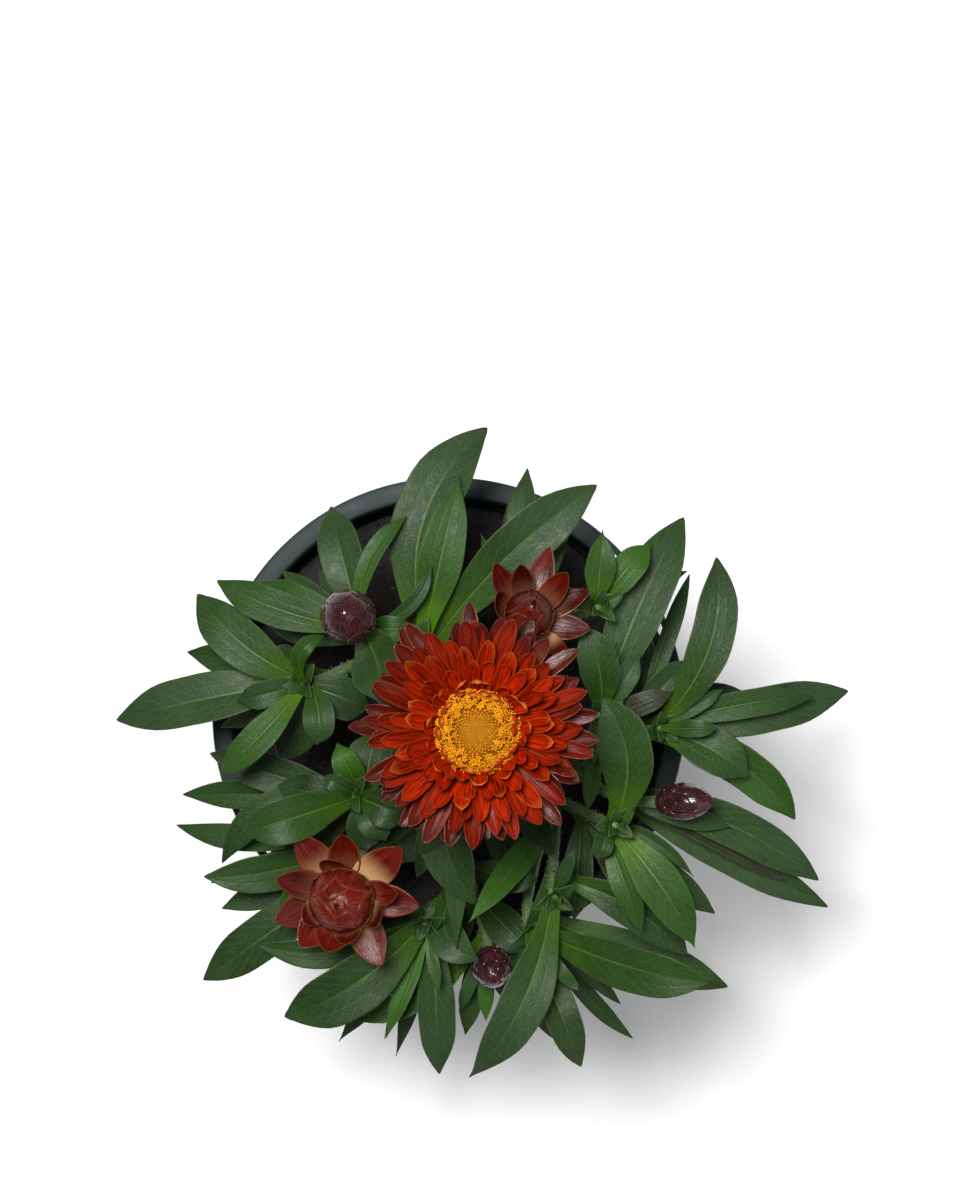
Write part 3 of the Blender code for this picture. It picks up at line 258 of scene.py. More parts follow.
# Turned cores of the heads, as (radius, height) from the top down, and the bracts of the
# half-open ones: place round the head from 0 to 1, root (radius, height), start and turn in
# degrees, length, width, cup
OPEN_CORE = [(0, RECEPTACLE_TOP), (RECEPTACLE_RADIUS, RECEPTACLE_TOP), (RECEPTACLE_RADIUS, 2.6),
             (6.6, 0.3), (4.0, 0.0), (0, 0)]
DISC_CORE = [(0.0, 4.0), (2.5, 3.95), (5.1, 3.6), (7.2, 2.9), (8.4, 2.0), (8.9, 0.9),
             (8.8, 0.0), (0, 0)]
NORTH_CORE = [(0, 17.0), (1.6, 16.0), (4.4, 12.6), (6.0, 9.0), (6.2, 6.0), (4.6, 2.0),
              (2.8, 0.2), (2.4, 0.0), (0, 0)]
NORTH_LAYERS = [
    (0.983, (3.6, 1.8), (4, 30), 15.0, 6.5, 1.0), (0.061, (3.6, 1.8), (6, 28), 17.0, 7.0, 1.0),
    (0.133, (4.2, 2.8), (22, 42), 14.5, 6.4, 1.1), (0.200, (3.6, 1.8), (6, 26), 17.0, 7.0, 1.0),
    (0.269, (4.2, 2.8), (26, 42), 13.5, 6.4, 1.1), (0.339, (3.6, 1.8), (8, 32), 15.5, 6.5, 1.0),
    (0.458, (4.2, 2.6), (30, 46), 11.8, 6.4, 1.1), (0.597, (4.0, 2.2), (26, 50), 11.4, 6.4, 1.1),
    (0.728, (4.0, 2.2), (20, 50), 11.8, 6.4, 1.1), (0.867, (4.0, 2.2), (14, 44), 13.0, 6.6, 1.1),
]
SOUTH_WEST_CORE = [(0, 14.6), (3.4, 14.0), (6.6, 11.6), (8.6, 8.0), (8.4, 5.6), (5.8, 2.0),
                   (3.0, 0.2), (2.4, 0.0), (0, 0)]
SOUTH_WEST_LAYERS = [
    (0.353, (4.0, 1.6), (-4, 30), 18.0, 9.4, 1.0), (0.233, (4.0, 1.8), (4, 34), 16.5, 9.0, 1.0),
    (0.125, (4.0, 1.6), (-2, 26), 18.0, 9.4, 1.0), (0.039, (5.0, 2.4), (12, 40), 14.5, 7.0, 1.0),
    (0.975, (4.0, 1.6), (-8, 30), 17.5, 8.8, 1.0), (0.836, (4.0, 1.6), (-6, 26), 18.0, 10.0, 1.0),
    (0.717, (5.0, 2.2), (12, 44), 13.5, 9.4, 1.0), (0.633, (4.4, 1.9), (4, 40), 14.5, 9.0, 1.0),
    (0.536, (4.0, 1.6), (-2, 34), 17.0, 9.4, 1.0), (0.442, (4.4, 1.9), (6, 34), 15.5, 8.8, 1.0),
    (0.292, (5.4, 2.8), (24, 60), 12.5, 7.0, 1.0), (0.917, (5.4, 2.8), (20, 56), 12.5, 7.0, 1.0),
    (0.778, (5.4, 2.8), (26, 60), 11.5, 7.0, 1.0), (0.583, (5.4, 2.8), (24, 60), 11.5, 7.0, 1.0),
]
BUD_CORE = [(0, 16.4), (2.2, 15.6), (5.2, 13.0), (7.0, 9.4), (7.0, 6.4), (5.2, 2.2),
            (2.8, 0.2), (2.3, 0.0), (0, 0)]

# Closed buds: shoot, share of the full width, share of the full length
BUDS = {
    "bud_north_west": ("nw", 1.0, 1.0),
    "bud_east": ("e3", 0.68, 1.0),
    "bud_south": ("s2", 0.75, 0.8),
}

# Room that each head takes over its stem's top: widest radius, length
HEAD_ROOM = {
    "n": (13.0, 17.0),
    "nw": (9.0, 17.0),
    "sw": (14.0, 16.0),
    "e3": (6.4, 17.0),
    "s2": (7.0, 14.0),
}


def seen_place(x, y, height):
    """The point at a height over the rim that is seen at (x, y) from above."""
    nearer = (VIEW_HEIGHT - height) / VIEW_HEIGHT
    return Vector((VIEW_X + (x - VIEW_X) * nearer,
                   VIEW_Y + (y - VIEW_Y) * nearer,
                   POT_HEIGHT + height))


class Stem:
    """A stem or side shoot: a cubic curve from its foot to its top."""

    def __init__(self, node, fork, top, height, lean, parent):
        self.node = node
        self.rooted = not fork
        self.end = seen_place(top[0], top[1], height)
        self.axis = Vector((lean[0], lean[1], 1.0)).normalized()
        if fork:
            self.foot = parent.point(fork)
            self.start = (parent.tangent(fork) + self.axis * 0.4).normalized()
        else:
            x, y = STEM_FEET[node]
            self.foot = Vector((x, y, POT_HEIGHT - SOIL_DROP + STEM_COLLAR))
            out = self.end - self.foot
            self.start = Vector((out.x, out.y, out.length * 0.9)).normalized()
        reach = (self.end - self.foot).length
        self.knots = (self.foot, self.foot + self.start * reach * 0.35,
                      self.end - self.axis * reach * 0.4, self.end)

    def point(self, t):
        a, b, c, d = self.knots
        s = 1.0 - t
        return a * s ** 3 + b * (3 * s * s * t) + c * (3 * s * t * t) + d * t ** 3

    def tangent(self, t):
        step = 0.01
        return (self.point(min(t + step, 1.0)) - self.point(max(t - step, 0.0))).normalized()


def make_stems():
    stems, leaders = {}, {}
    for name, (node, fork, top, height, lean) in SHOOTS.items():
        stems[name] = Stem(node, fork, top, height, lean, leaders.get(node))
        leaders.setdefault(node, stems[name])
    return stems


class Leaf:
    """A leaf: a bowed and arched midrib with a lance-shaped blade."""

    def __init__(self, shoot, stem, row, number):
        along, x, y, height, width, arch, bow = row
        self.shoot = shoot
        self.node = stem.node
        self.foot = stem.point(along)
        self.tip = seen_place(x, y, height)
        self.half = width / 2
        self.arch = arch
        self.roll = math.radians(14.0 * math.sin(2.4 * number))
        across = Vector((self.tip.y - self.foot.y, self.foot.x - self.tip.x, 0.0))
        self.bow = across.normalized() * -bow
        place = LEAVES[shoot].index(row)
        self.shoulder, self.taper = POINTED if place in POINTED_ROWS.get(shoot, ()) else ROUNDED

    def width(self, u):
        """Half the blade's width at u, from its foot at 0 to its tip at 1."""
        rise = min(u / WIDEST, 1.0)
        share = FOOT_SHARE + (1.0 - FOOT_SHARE) * rise * rise * (3.0 - 2.0 * rise)
        past = max((u - self.shoulder) / (1.0 - self.shoulder), 0.0)
        return self.half * share * max(1.0 - past * past, 0.0) ** self.taper

    def rib(self, u):
        hump = 4.0 * u * (1.0 - u)
        return self.foot.lerp(self.tip, u) + self.bow * hump + Vector((0, 0, self.arch * hump))

    def frame(self, u):
        """The midrib's point, the blade's side and the blade's face direction."""
        step = 0.02
        along = (self.rib(u + step) - self.rib(u - step)).normalized()
        side = along.cross(Vector((0, 0, 1))).normalized()
        face = side.cross(along)
        side = side * math.cos(self.roll) + face * math.sin(self.roll)
        return self.rib(u), side, side.cross(along)


def make_leaves(stems):
    leaves = []
    for shoot, rows in LEAVES.items():
        for row in rows:
            leaves.append(Leaf(shoot, stems[shoot], row, len(leaves)))
    return leaves


def leaf_cells(leaves):
    """Which leaves are over each cell of the ground, at which u, and how far over their rib."""
    cover = {}
    for i, leaf in enumerate(leaves):
        spots = {}
        for u in np.linspace(0.1, 1.0, 26):
            centre, side, face = leaf.frame(u)
            for v in np.linspace(-1.0, 1.0, 7):
                off = leaf.width(u) * v
                p = centre + side * off + face * abs(off) * LEAF_FOLD
                spots[(round(p.x / CELL), round(p.y / CELL))] = (u, p.z - centre.z)
        for key, (u, rise) in spots.items():
            cover.setdefault(key, []).append((i, u, rise))
    return cover


def solid_cells(stems):
    """The lowest and the highest point of each stem and head over each cell of the ground."""
    solid = {}

    def fill(p, name):
        key = (round(p.x / CELL), round(p.y / CELL), name)
        low, high = solid.get(key, (p.z, p.z))
        solid[key] = (min(low, p.z), max(high, p.z))

    for name, stem in stems.items():
        for t in np.linspace(0.0, 1.0, 90):
            fill(stem.point(t), name)
    for name, (radius, length) in HEAD_ROOM.items():
        stem = stems[name]
        turn = Vector((0, 0, 1)).rotation_difference(stem.axis)
        for along in np.linspace(0.0, 1.0, 9):
            wide = radius * min(0.35 + 1.6 * along, 1.0, 2.2 * (1.15 - along))
            for share in (0.25, 0.5, 0.75, 1.0):
                for a in np.linspace(0.0, math.tau, 24, endpoint=False):
                    out = Vector((math.cos(a), math.sin(a), 0)) * wide * share
                    fill(stem.end + turn @ (out + Vector((0, 0, length * along))), "head_" + name)
    return solid


def side_signs(keys, gaps):
    """For each key 1 where its gaps add up to a rise over the other, or else -1."""
    total = {}
    for key, gap in zip(keys, gaps):
        total[key] = total.get(key, 0.0) + gap
    return np.array([1.0 if total[key] >= 0 else -1.0 for key in keys])


def settle(leaves, stems):
    """Lift and lower tips and arches until the leaves pass clear over each other."""
    cover = leaf_cells(leaves)
    pairs = []
    for members in cover.values():
        for (i, ui, ri), (j, uj, rj) in itertools.combinations(members, 2):
            if leaves[i].shoot != leaves[j].shoot or min(ui, uj) >= FREE_FOOT:
                pairs.append((i, j, ui, uj, ri, rj))
    blocks = []
    for (cx, cy, name), (low, high) in solid_cells(stems).items():
        for i, u, rise in cover.get((cx, cy), ()):
            if leaves[i].shoot != name:
                blocks.append((i, u, rise, low - STEM_CLEARANCE, high + STEM_CLEARANCE, name))

    def heights(index, u, rise):
        return foot[index] * (1 - u) + tip[index] * u + arch[index] * 4 * u * (1 - u) + rise

    foot = np.array([leaf.foot.z for leaf in leaves])
    tip = np.array([leaf.tip.z for leaf in leaves])
    arch = np.array([float(leaf.arch) for leaf in leaves])
    pi, pj, ui, uj, ri, rj = (np.array(column) for column in zip(*pairs))
    bi, bu, br, low, high = (np.array(column) for column in list(zip(*blocks))[:5])
    sign = side_signs(list(zip(pi, pj)), heights(pi, ui, ri) - heights(pj, uj, rj))
    block_sign = side_signs([(b[0], b[5]) for b in blocks],
                            heights(bi, bu, br) - (low + high) / 2)

    for _ in range(SETTLE_ROUNDS):
        push = np.zeros((len(leaves), 2))
        weight = np.full((len(leaves), 2), 1e-6)

        def add(index, u, amount):
            for k, share in enumerate((u, 4 * u * (1 - u))):
                np.add.at(push[:, k], index, amount * share)
                np.add.at(weight[:, k], index, share * share)

        apart = sign * (heights(pi, ui, ri) - heights(pj, uj, rj))
        short = np.maximum(LEAF_CLEARANCE - apart, 0.0)
        hit = short > 0
        add(pi[hit], ui[hit], (short * sign)[hit] * 0.5)
        add(pj[hit], uj[hit], (-short * sign)[hit] * 0.5)
        level = heights(bi, bu, br)
        need = np.where(block_sign > 0, high - level, level - low)
        hit = need > 0
        add(bi[hit], bu[hit], (need * block_sign)[hit])
        move = SETTLE_SHARE * push / weight
        tip += np.clip(move[:, 0], -TIP_STEP, TIP_STEP)
        arch += np.clip(move[:, 1], -ARCH_STEP, ARCH_STEP)
        arch = np.clip(arch, *ARCH_RANGE)
    for leaf, z, a in zip(leaves, tip, arch):
        leaf.tip.z = z
        leaf.arch = a


def head_place(stem):
    """From a head's own millimetres to the layout: its base sits on the stem's top."""
    turn = Vector((0, 0, 1)).rotation_difference(stem.axis).to_matrix().to_4x4()
    return Matrix.Translation(stem.end + stem.axis * GAP) @ turn


# Tone of each leaf, in the order of its row: see LEAF_TONES. Each "k" is a leaf that lies low in the
# canopy, some of them under the open flower, and it is painted very dark as shade.
ROW_TONES = {
    "main": "dmdkkmkkkkd",
    "n": "gmmmd",
    "nn": "gbgk",
    "ne": "bmym",
    "nw": "gmbbgbggGg",
    "wnw": "mdGggbdbkkk",
    "sw": "mdgbd",
    "w": "mkdmmygdkkkkkkdk",
    "s2": "omoybkkk",
    "ssw": "dymmdgbgmkd",
    "se": "bbmmdmydkk",
    "s": "Gdgk",
    "s3": "mmddosm",
    "e3": "ggpm",
    "e1": "mgspbbyd",
    "e2": "ddggGmmbmmd",
}

# Grey bloom, lightness and purple of a leaf, each from 0 to 1
LEAF_TONES = {
    "G": (1.0, 0.60, 0.0),
    "g": (0.80, 0.55, 0.0),
    "s": (1.0, 0.80, 0.0),
    "m": (0.40, 0.50, 0.0),
    "b": (0.15, 0.72, 0.0),
    "y": (0.0, 0.95, 0.0),
    "d": (0.50, 0.35, 0.0),
    # Very dark: painted shade for the leaves that lie low in the canopy and under the open flower
    "k": (0.50, 0.22, 0.0),
    "o": (0.25, 0.40, 0.2),
    "p": (0.60, 0.40, 0.8),
}


class Build:
    """Gathers the points and faces of one piece, with two vectors at each point.

    The first vector places the point on its leaf, bract or scale: along, across and
    underside. The second gives that leaf, bract or scale its tone.
    """

    def __init__(self):
        self.points = []
        self.faces = []
        self.places = []
        self.tones = []
        self.count = 0

    def add(self, points, faces, places, tone):
        points = np.asarray(points, float).reshape(-1, 3)
        tones = np.broadcast_to(np.asarray(tone, float), points.shape)
        places = np.broadcast_to(np.asarray(places, float), points.shape)
        self.points.append(points)
        self.faces.extend([tuple(i + self.count for i in face) for face in faces])
        self.places.append(places)
        self.tones.append(tones)
        self.count += len(points)

    def finish(self, name, material, slot, nodes):
        mesh = bpy.data.meshes.new(name)
        points = np.concatenate(self.points) * MM
        mesh.from_pydata(points.tolist(), [], self.faces)
        for key, rows in (("place", self.places), ("tone", self.tones)):
            layer = mesh.attributes.new(key, "FLOAT_VECTOR", "POINT")
            layer.data.foreach_set("vector", np.concatenate(rows).astype(np.float32).ravel())
        mesh.shade_smooth()
        mesh.update()
        return finish_piece(name, mesh, material, nodes)


def finish_piece(name, mesh, material, nodes):
    made = bpy.data.objects.new(name, mesh)
    bpy.context.scene.collection.objects.link(made)
    mesh.materials.clear()
    mesh.materials.append(material)
    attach(made, "root")
    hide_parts(*nodes)
    return made


SHEET_FACES = {}


def sheet_faces(rows, columns):
    """The faces of a thin closed sheet of two grids, the upper one first."""
    if (rows, columns) in SHEET_FACES:
        return SHEET_FACES[rows, columns]

    def at(i, j, side=0):
        return (side * rows + i) * columns + j

    faces = []
    for i in range(rows - 1):
        for j in range(columns - 1):
            faces.append((at(i, j), at(i, j + 1), at(i + 1, j + 1), at(i + 1, j)))
            faces.append((at(i, j, 1), at(i + 1, j, 1), at(i + 1, j + 1, 1), at(i, j + 1, 1)))
        last = columns - 1
        faces.append((at(i, 0), at(i + 1, 0), at(i + 1, 0, 1), at(i, 0, 1)))
        faces.append((at(i, last), at(i, last, 1), at(i + 1, last, 1), at(i + 1, last)))
    for j in range(columns - 1):
        last = rows - 1
        faces.append((at(0, j + 1), at(0, j), at(0, j, 1), at(0, j + 1, 1)))
        faces.append((at(last, j), at(last, j + 1), at(last, j + 1, 1), at(last, j, 1)))
    SHEET_FACES[rows, columns] = faces
    return faces


def ring_faces(rows, sides, inward=False):
    """The faces between rings of points that follow one another."""
    faces = []
    for i in range(rows - 1):
        for k in range(sides):
            a, b = i * sides + k, i * sides + (k + 1) % sides
            c, d = b + sides, a + sides
            faces.append((a, d, c, b) if inward else (a, b, c, d))
    return faces


def end_faces(rows, sides):
    """Flat faces that close such rings at their first and last ring."""
    return [tuple(reversed(range(sides))), tuple((rows - 1) * sides + k for k in range(sides))]


def ring(radius, height, sides):
    angles = [math.tau * k / sides for k in range(sides)]
    return [(radius * math.cos(a), radius * math.sin(a), height) for a in angles]


def placed(place, points):
    """Points moved from a head's own millimetres to the layout."""
    move = np.array(place)
    return np.asarray(points) @ move[:3, :3].T + move[:3, 3]


def add_sheet(build, top, bottom, along, across, tone):
    """Add a sheet from its two grids of points, with its places and tone."""
    top, bottom = np.array(top), np.array(bottom)
    u, v = np.meshgrid(along, across, indexing="ij")
    places = [np.stack([u, v, np.full_like(u, under)], -1).reshape(-1, 3) for under in (0, 1)]
    build.add(np.concatenate([top.reshape(-1, 3), bottom.reshape(-1, 3)]),
              sheet_faces(*top.shape[:2]), np.concatenate(places), tone)


# Shares along and across a leaf, and its thickness at the rib
LEAF_ALONG = np.concatenate([np.linspace(0.0, 0.9, 19), (0.93, 0.955, 0.975, 0.99, 1.0)])
LEAF_ACROSS = np.array((-1, -0.93, -0.72, -0.45, -0.2, -0.07, 0, 0.07, 0.2, 0.45, 0.72, 0.93, 1))
LEAF_THICKNESS = 0.30

# The same for the young leaves at a shoot's tip, and their number
YOUNG_ALONG = np.array((0.0, 0.15, 0.35, 0.55, 0.75, 0.9, 1.0))
YOUNG_ACROSS = np.array((-1.0, -0.5, 0.0, 0.5, 1.0))
TIP_LEAVES = 6

# Woolly hairs of a shoot: number in each millimetre, and half a hair's width at its root
HAIRS = 3.0
HAIR_HALF = 0.05


def fine_leaf(build, leaf, number, tone):
    """A leaf with a sunken midrib, a waved margin and a small hard point at its tip."""
    draw = random.Random(100 + number)
    waves = draw.uniform(2.0, 4.0)
    phase = draw.uniform(0.0, math.tau)
    wave = 0.035 * leaf.half * draw.uniform(0.4, 1.3)
    droop = draw.uniform(0.2, 1.0)
    point = 1.1 if leaf.half > 3.0 else 0.7
    v = LEAF_ACROSS
    top, bottom = [], []
    for u in LEAF_ALONG:
        centre, side, face = (np.array(p) for p in leaf.frame(u))
        half = max(leaf.width(u) * (1.0 + 0.13 * math.exp(-((u - 0.80) / 0.13) ** 2)), 0.12)
        if u > 0.97:
            centre = centre + np.cross(face, side) * point * (u - 0.97) / 0.03
        tip = max(u - 0.7, 0.0) / 0.3
        lift = half * LEAF_FOLD * (0.45 * np.abs(v) + 0.55 * v ** 2)
        lift = lift + wave * np.sin(math.tau * waves * u + phase + 1.7 * (v > 0)) * np.abs(v) ** 3
        lift = lift - droop * tip ** 2 - 0.12 * np.abs(v) ** 8
        groove = 0.22 * np.exp(-(v / 0.09) ** 2) * min(1.0, 2.2 * (1.0 - u))
        veins = 0.05 * np.exp(-((np.abs(v) - 0.45) / 0.08) ** 2)
        spread = centre + np.outer(half * v, side)
        thick = LEAF_THICKNESS * (1.0 - 0.55 * v ** 2)
        top.append(spread + np.outer(lift - groove - veins + thick / 2, face))
        bottom.append(spread + np.outer(lift - 1.9 * groove - thick / 2, face))
    add_sheet(build, top, bottom, LEAF_ALONG, LEAF_ACROSS, tone)


def tube(build, points, radii, sides, tone):
    """A closed round tube through points, with rings square to its run."""
    rings, places = [], []
    side = points[1] - points[0]
    side = side.normalized().orthogonal().normalized()
    last = len(points) - 1
    for i, p in enumerate(points):
        ahead = (points[min(i + 1, last)] - points[max(i - 1, 0)]).normalized()
        side = (side - ahead * side.dot(ahead)).normalized()
        other = ahead.cross(side)
        for k in range(sides):
            a = math.tau * k / sides
            rings.append(p + (side * math.cos(a) + other * math.sin(a)) * radii[i])
            places.append((i / last, 2.0 * k / sides - 1.0, 0.0))
    rows = len(points)
    build.add(rings, ring_faces(rows, sides) + end_faces(rows, sides), places, tone)


def fine_stem(build, stem, number):
    """A stem or side shoot with slight knobs. A stem reaches down into the soil."""
    points = [stem.point(t) for t in np.linspace(0.0, 1.0, 22)]
    if stem.rooted:
        points.insert(0, stem.foot - Vector((0, 0, STEM_COLLAR + 3.0)))
    thick = STEM_FOOT_RADIUS if stem.rooted else STEM_FOOT_RADIUS - 0.4
    radii = []
    for i in range(len(points)):
        share = i / (len(points) - 1)
        knobs = 0.12 * math.sin(9.0 * share * math.tau + number)
        radii.append(thick + (STEM_TOP_RADIUS - thick) * share + knobs - 0.1)
    radii[-1] = STEM_TOP_RADIUS + 0.3
    tube(build, points, radii, 12, (0.0 if stem.rooted else 0.5, 0.5, (number * 0.37) % 1.0))


def stem_hairs(build, stem, number):
    """Short woolly hairs that stand off a shoot, as slim three-sided spikes."""
    draw = random.Random(500 + number)
    wide = HAIR_HALF
    for _ in range(int((stem.end - stem.foot).length * HAIRS)):
        t = draw.uniform(0.03, 0.99)
        ahead = stem.tangent(t)
        thick = STEM_FOOT_RADIUS + (STEM_TOP_RADIUS - STEM_FOOT_RADIUS) * t - 0.25
        a = draw.uniform(0.0, math.tau)
        side = ahead.orthogonal().normalized()
        out = (side * math.cos(a) + ahead.cross(side) * math.sin(a)).normalized()
        reach = draw.uniform(0.7, 1.5)
        lean = out + ahead * draw.uniform(-0.3, 0.7)
        root = stem.point(t) + out * thick
        other = ahead.cross(out)
        build.add([root + ahead * wide, root - ahead * wide * 0.5 + other * wide * 0.87,
                   root - ahead * wide * 0.5 - other * wide * 0.87,
                   root + lean.normalized() * reach],
                  [(0, 1, 2), (0, 3, 1), (1, 3, 2), (2, 3, 0)], (0.5, 0.0, 1.0), (1.0, 1.0, 0.5))


def young_leaf(build, root, way, up, length, width, number):
    """A small folded leaf at a shoot's tip."""
    side = np.cross(way, up)
    side = side / np.linalg.norm(side)
    face = np.cross(side, way)
    v = YOUNG_ACROSS
    top, bottom = [], []
    for u in YOUNG_ALONG:
        half = width / 2 * math.sin(math.pi * (0.12 + 0.88 * u) ** 1.15) ** 0.8 + 0.05
        centre = root + way * length * u + face * length * (0.35 * u - 0.55 * u * u)
        lift = half * 0.5 * np.abs(v)
        spread = centre + np.outer(half * v, side)
        top.append(spread + np.outer(lift + LEAF_THICKNESS / 2, face))
        bottom.append(spread + np.outer(lift - LEAF_THICKNESS / 2, face))
    add_sheet(build, top, bottom, YOUNG_ALONG, YOUNG_ACROSS, (0.35 + 0.05 * (number % 5), 0.55, 0.0))


def shoot_tip(build, stem, number):
    """A tuft of young leaves that closes a shoot's tip."""
    draw = random.Random(900 + number)
    axis = np.array(stem.axis)
    level = np.array(stem.axis.orthogonal().normalized())
    other = np.cross(axis, level)
    for i in range(TIP_LEAVES):
        a = 2.4 * i + draw.uniform(-0.3, 0.3)
        out = level * math.cos(a) + other * math.sin(a)
        spread = 0.95 - 0.13 * i
        way = out * spread + axis
        way = way / np.linalg.norm(way)
        root = np.array(stem.end) - axis * (1.6 - 0.15 * i) + out * 0.8
        young_leaf(build, root, way, axis if spread > 0.4 else out, 8.0 - 0.6 * i,
                   4.6 - 0.3 * i, i)


# Shares along and across a bract, its outlines as widths at shares of its length, its
# thickness, and the steps that its curve is drawn in
BRACT_ALONG = np.array((0.0, 0.12, 0.25, 0.38, 0.5, 0.62, 0.73, 0.82, 0.89, 0.94, 0.975, 1.0))
BRACT_ACROSS = np.array((-1.0, -0.88, -0.55, -0.2, 0.2, 0.55, 0.88, 1.0))
BRACT_OUTLINE = ((0.0, 0.15, 0.35, 0.6, 0.78, 0.9, 0.96, 1.0),
                 (0.48, 0.62, 0.84, 1.0, 1.0, 0.76, 0.48, 0.08))
POINTED_OUTLINE = (BRACT_OUTLINE[0], (0.60, 0.80, 1.0, 0.94, 0.70, 0.42, 0.24, 0.04))
BRACT_THICKNESS = 0.18
CURVE_STEPS = 48


def fine_bract(build, place, around, root, angles, length, width, cup, roll, tone, hook=0.0,
               bend=0.0, outline=BRACT_OUTLINE):
    """A papery, boat-shaped bract that leaves the head's axis in the direction around."""
    out = np.array((math.cos(around), math.sin(around), 0.0))
    level = np.array((-math.sin(around), math.cos(around), 0.0))
    up = np.array((0.0, 0.0, 1.0))
    steps = CURVE_STEPS
    (radius, height), sway = root, 0.0
    curve = [(radius, height, sway, angles[0])]
    for i in range(steps):
        share = (i + 0.5) / steps
        angle = angles[0] + angles[1] * share + hook * max(share - 0.72, 0.0) ** 2 / 0.078
        radius += math.cos(math.radians(angle)) * length / steps
        height += math.sin(math.radians(angle)) * length / steps
        sway += bend * share * length / steps
        curve.append((radius, height, sway, angle))
    v = BRACT_ACROSS
    crease = 0.06 * np.cos(math.tau * 2.5 * v)
    top, bottom = [], []
    for u in BRACT_ALONG:
        r, z, s, angle = (np.interp(u * steps, range(steps + 1), run) for run in zip(*curve))
        angle = math.radians(angle)
        face = out * -math.sin(angle) + up * math.cos(angle)
        side = -level * math.cos(roll) + face * math.sin(roll)
        face = face * math.cos(roll) + level * math.sin(roll)
        half = width / 2 * np.interp(u, *outline)
        lift = cup * (half / (width / 2)) * (0.35 * np.abs(v) + 0.65 * v ** 2)
        spread = out * r + up * z + level * s + np.outer(half * v, side)
        top.append(spread + np.outer(lift + crease + BRACT_THICKNESS / 2, face))
        bottom.append(spread + np.outer(lift + crease - BRACT_THICKNESS / 2, face))
    add_sheet(build, placed(place, top), placed(place, bottom), BRACT_ALONG, BRACT_ACROSS, tone)


def profile_at(core, t):
    """Radius, height and outward direction at a share t of the way up a turned core."""
    lengths = [0.0]
    for (r0, z0), (r1, z1) in zip(core, core[1:]):
        lengths.append(lengths[-1] + math.hypot(r1 - r0, z1 - z0))

    def spot(share):
        at = (1.0 - min(max(share, 0.0), 1.0)) * lengths[-1]
        return (np.interp(at, lengths, [p[0] for p in core]),
                np.interp(at, lengths, [p[1] for p in core]))

    radius, height = spot(t)
    low, high = spot(t - 0.03), spot(t + 0.03)
    run = np.array((high[0] - low[0], high[1] - low[1]))
    run = run / max(np.linalg.norm(run), 1e-9)
    return radius, height, run


# Shares along and across a scale, its outline and its thickness
SCALE_ALONG = np.array((0.0, 0.2, 0.4, 0.58, 0.72, 0.83, 0.91, 0.96, 1.0))
SCALE_ACROSS = np.array((-1.0, -0.8, -0.4, 0.0, 0.4, 0.8, 1.0))
SCALE_OUTLINE = ((0.0, 0.3, 0.6, 0.8, 0.92, 1.0), (0.75, 0.97, 1.0, 0.8, 0.48, 0.06))
SCALE_THICKNESS = 0.20


def fine_scale(build, core, place, around, low, high, width, proud, tone, twist=0.0):
    """A scale that hugs a turned core from a share low to a share high of its side."""
    sheets = [], []
    up = np.array((0.0, 0.0, 1.0))
    for u in SCALE_ALONG:
        radius, height, run = profile_at(core, low + (high - low) * u)
        wide = width / 2 * np.interp(u, *SCALE_OUTLINE)
        spread = min(wide / max(radius, 1.2), 1.3)
        rows = [], []
        for v in SCALE_ACROSS[::-1]:
            angle = around + spread * v + twist * u
            out = np.array((math.cos(angle), math.sin(angle), 0.0))
            normal = out * run[1] - up * run[0]
            stand = 0.15 + proud * u ** 1.5 * (1.0 - 0.55 * v ** 2) + 0.05 * math.cos(7.0 * v)
            for row, half in zip(rows, (SCALE_THICKNESS / 2, -SCALE_THICKNESS / 2)):
                row.append(out * radius + up * height + normal * (stand + half))
        for sheet, row in zip(sheets, rows):
            sheet.append(row)
    add_sheet(build, *(placed(place, sheet) for sheet in sheets), SCALE_ALONG, SCALE_ACROSS, tone)


def turned_body(build, core, place, steps, tone):
    """A turned closed body from a profile (radius, height) that runs down its outer side."""
    profile = [p for p in core if p[0] > 0.0]
    rows = len(profile)
    points = [p for radius, height in profile for p in ring(radius, height, steps)]
    places = [(1.0 - i / rows, 0.0, 0.0) for i in range(rows) for _ in range(steps)]
    top, low, last = len(points), len(points) + 1, (rows - 1) * steps
    faces = ring_faces(rows, steps, True)
    for k in range(steps):
        n = (k + 1) % steps
        faces += [(k, n, top), (last + n, last + k, low)]
    points += [(0.0, 0.0, core[0][1]), (0.0, 0.0, core[-1][1])]
    places += [(1.0, 0.0, 0.0), (0.0, 0.0, 0.0)]
    build.add(placed(place, points), faces, places, tone)


# The open flower's layers of bracts: count, phase, root (radius, height), start and turn in
# degrees, length, width, cup, hook, tone, lightness
OPEN_BRACTS = [
    (27, 0.0, (6.0, 1.1), (-6, 9), 26.4, 5.3, 1.0, 10, 0.0, 0.25),
    (26, 0.5, (6.6, 1.6), (0, 13), 25.4, 5.3, 1.1, 14, 0.15, 0.40),
    (26, 0.2, (7.2, 2.2), (7, 16), 23.2, 5.1, 1.2, 18, 0.35, 0.55),
    (25, 0.6, (7.8, 2.9), (15, 20), 19.9, 4.8, 1.2, 26, 0.55, 0.70),
    (23, 0.1, (8.3, 3.5), (26, 28), 16.0, 4.4, 1.1, 40, 0.72, 0.85),
    (21, 0.5, (8.7, 4.0), (40, 38), 12.4, 4.0, 1.0, 62, 0.86, 1.0),
    (19, 0.0, (9.1, 4.4), (56, 48), 9.0, 3.4, 0.8, 80, 1.0, 1.0),
]

# Rows of scales under the open flower, and the scales in each
UNDER_ROWS = 3
UNDER_SCALES = 17


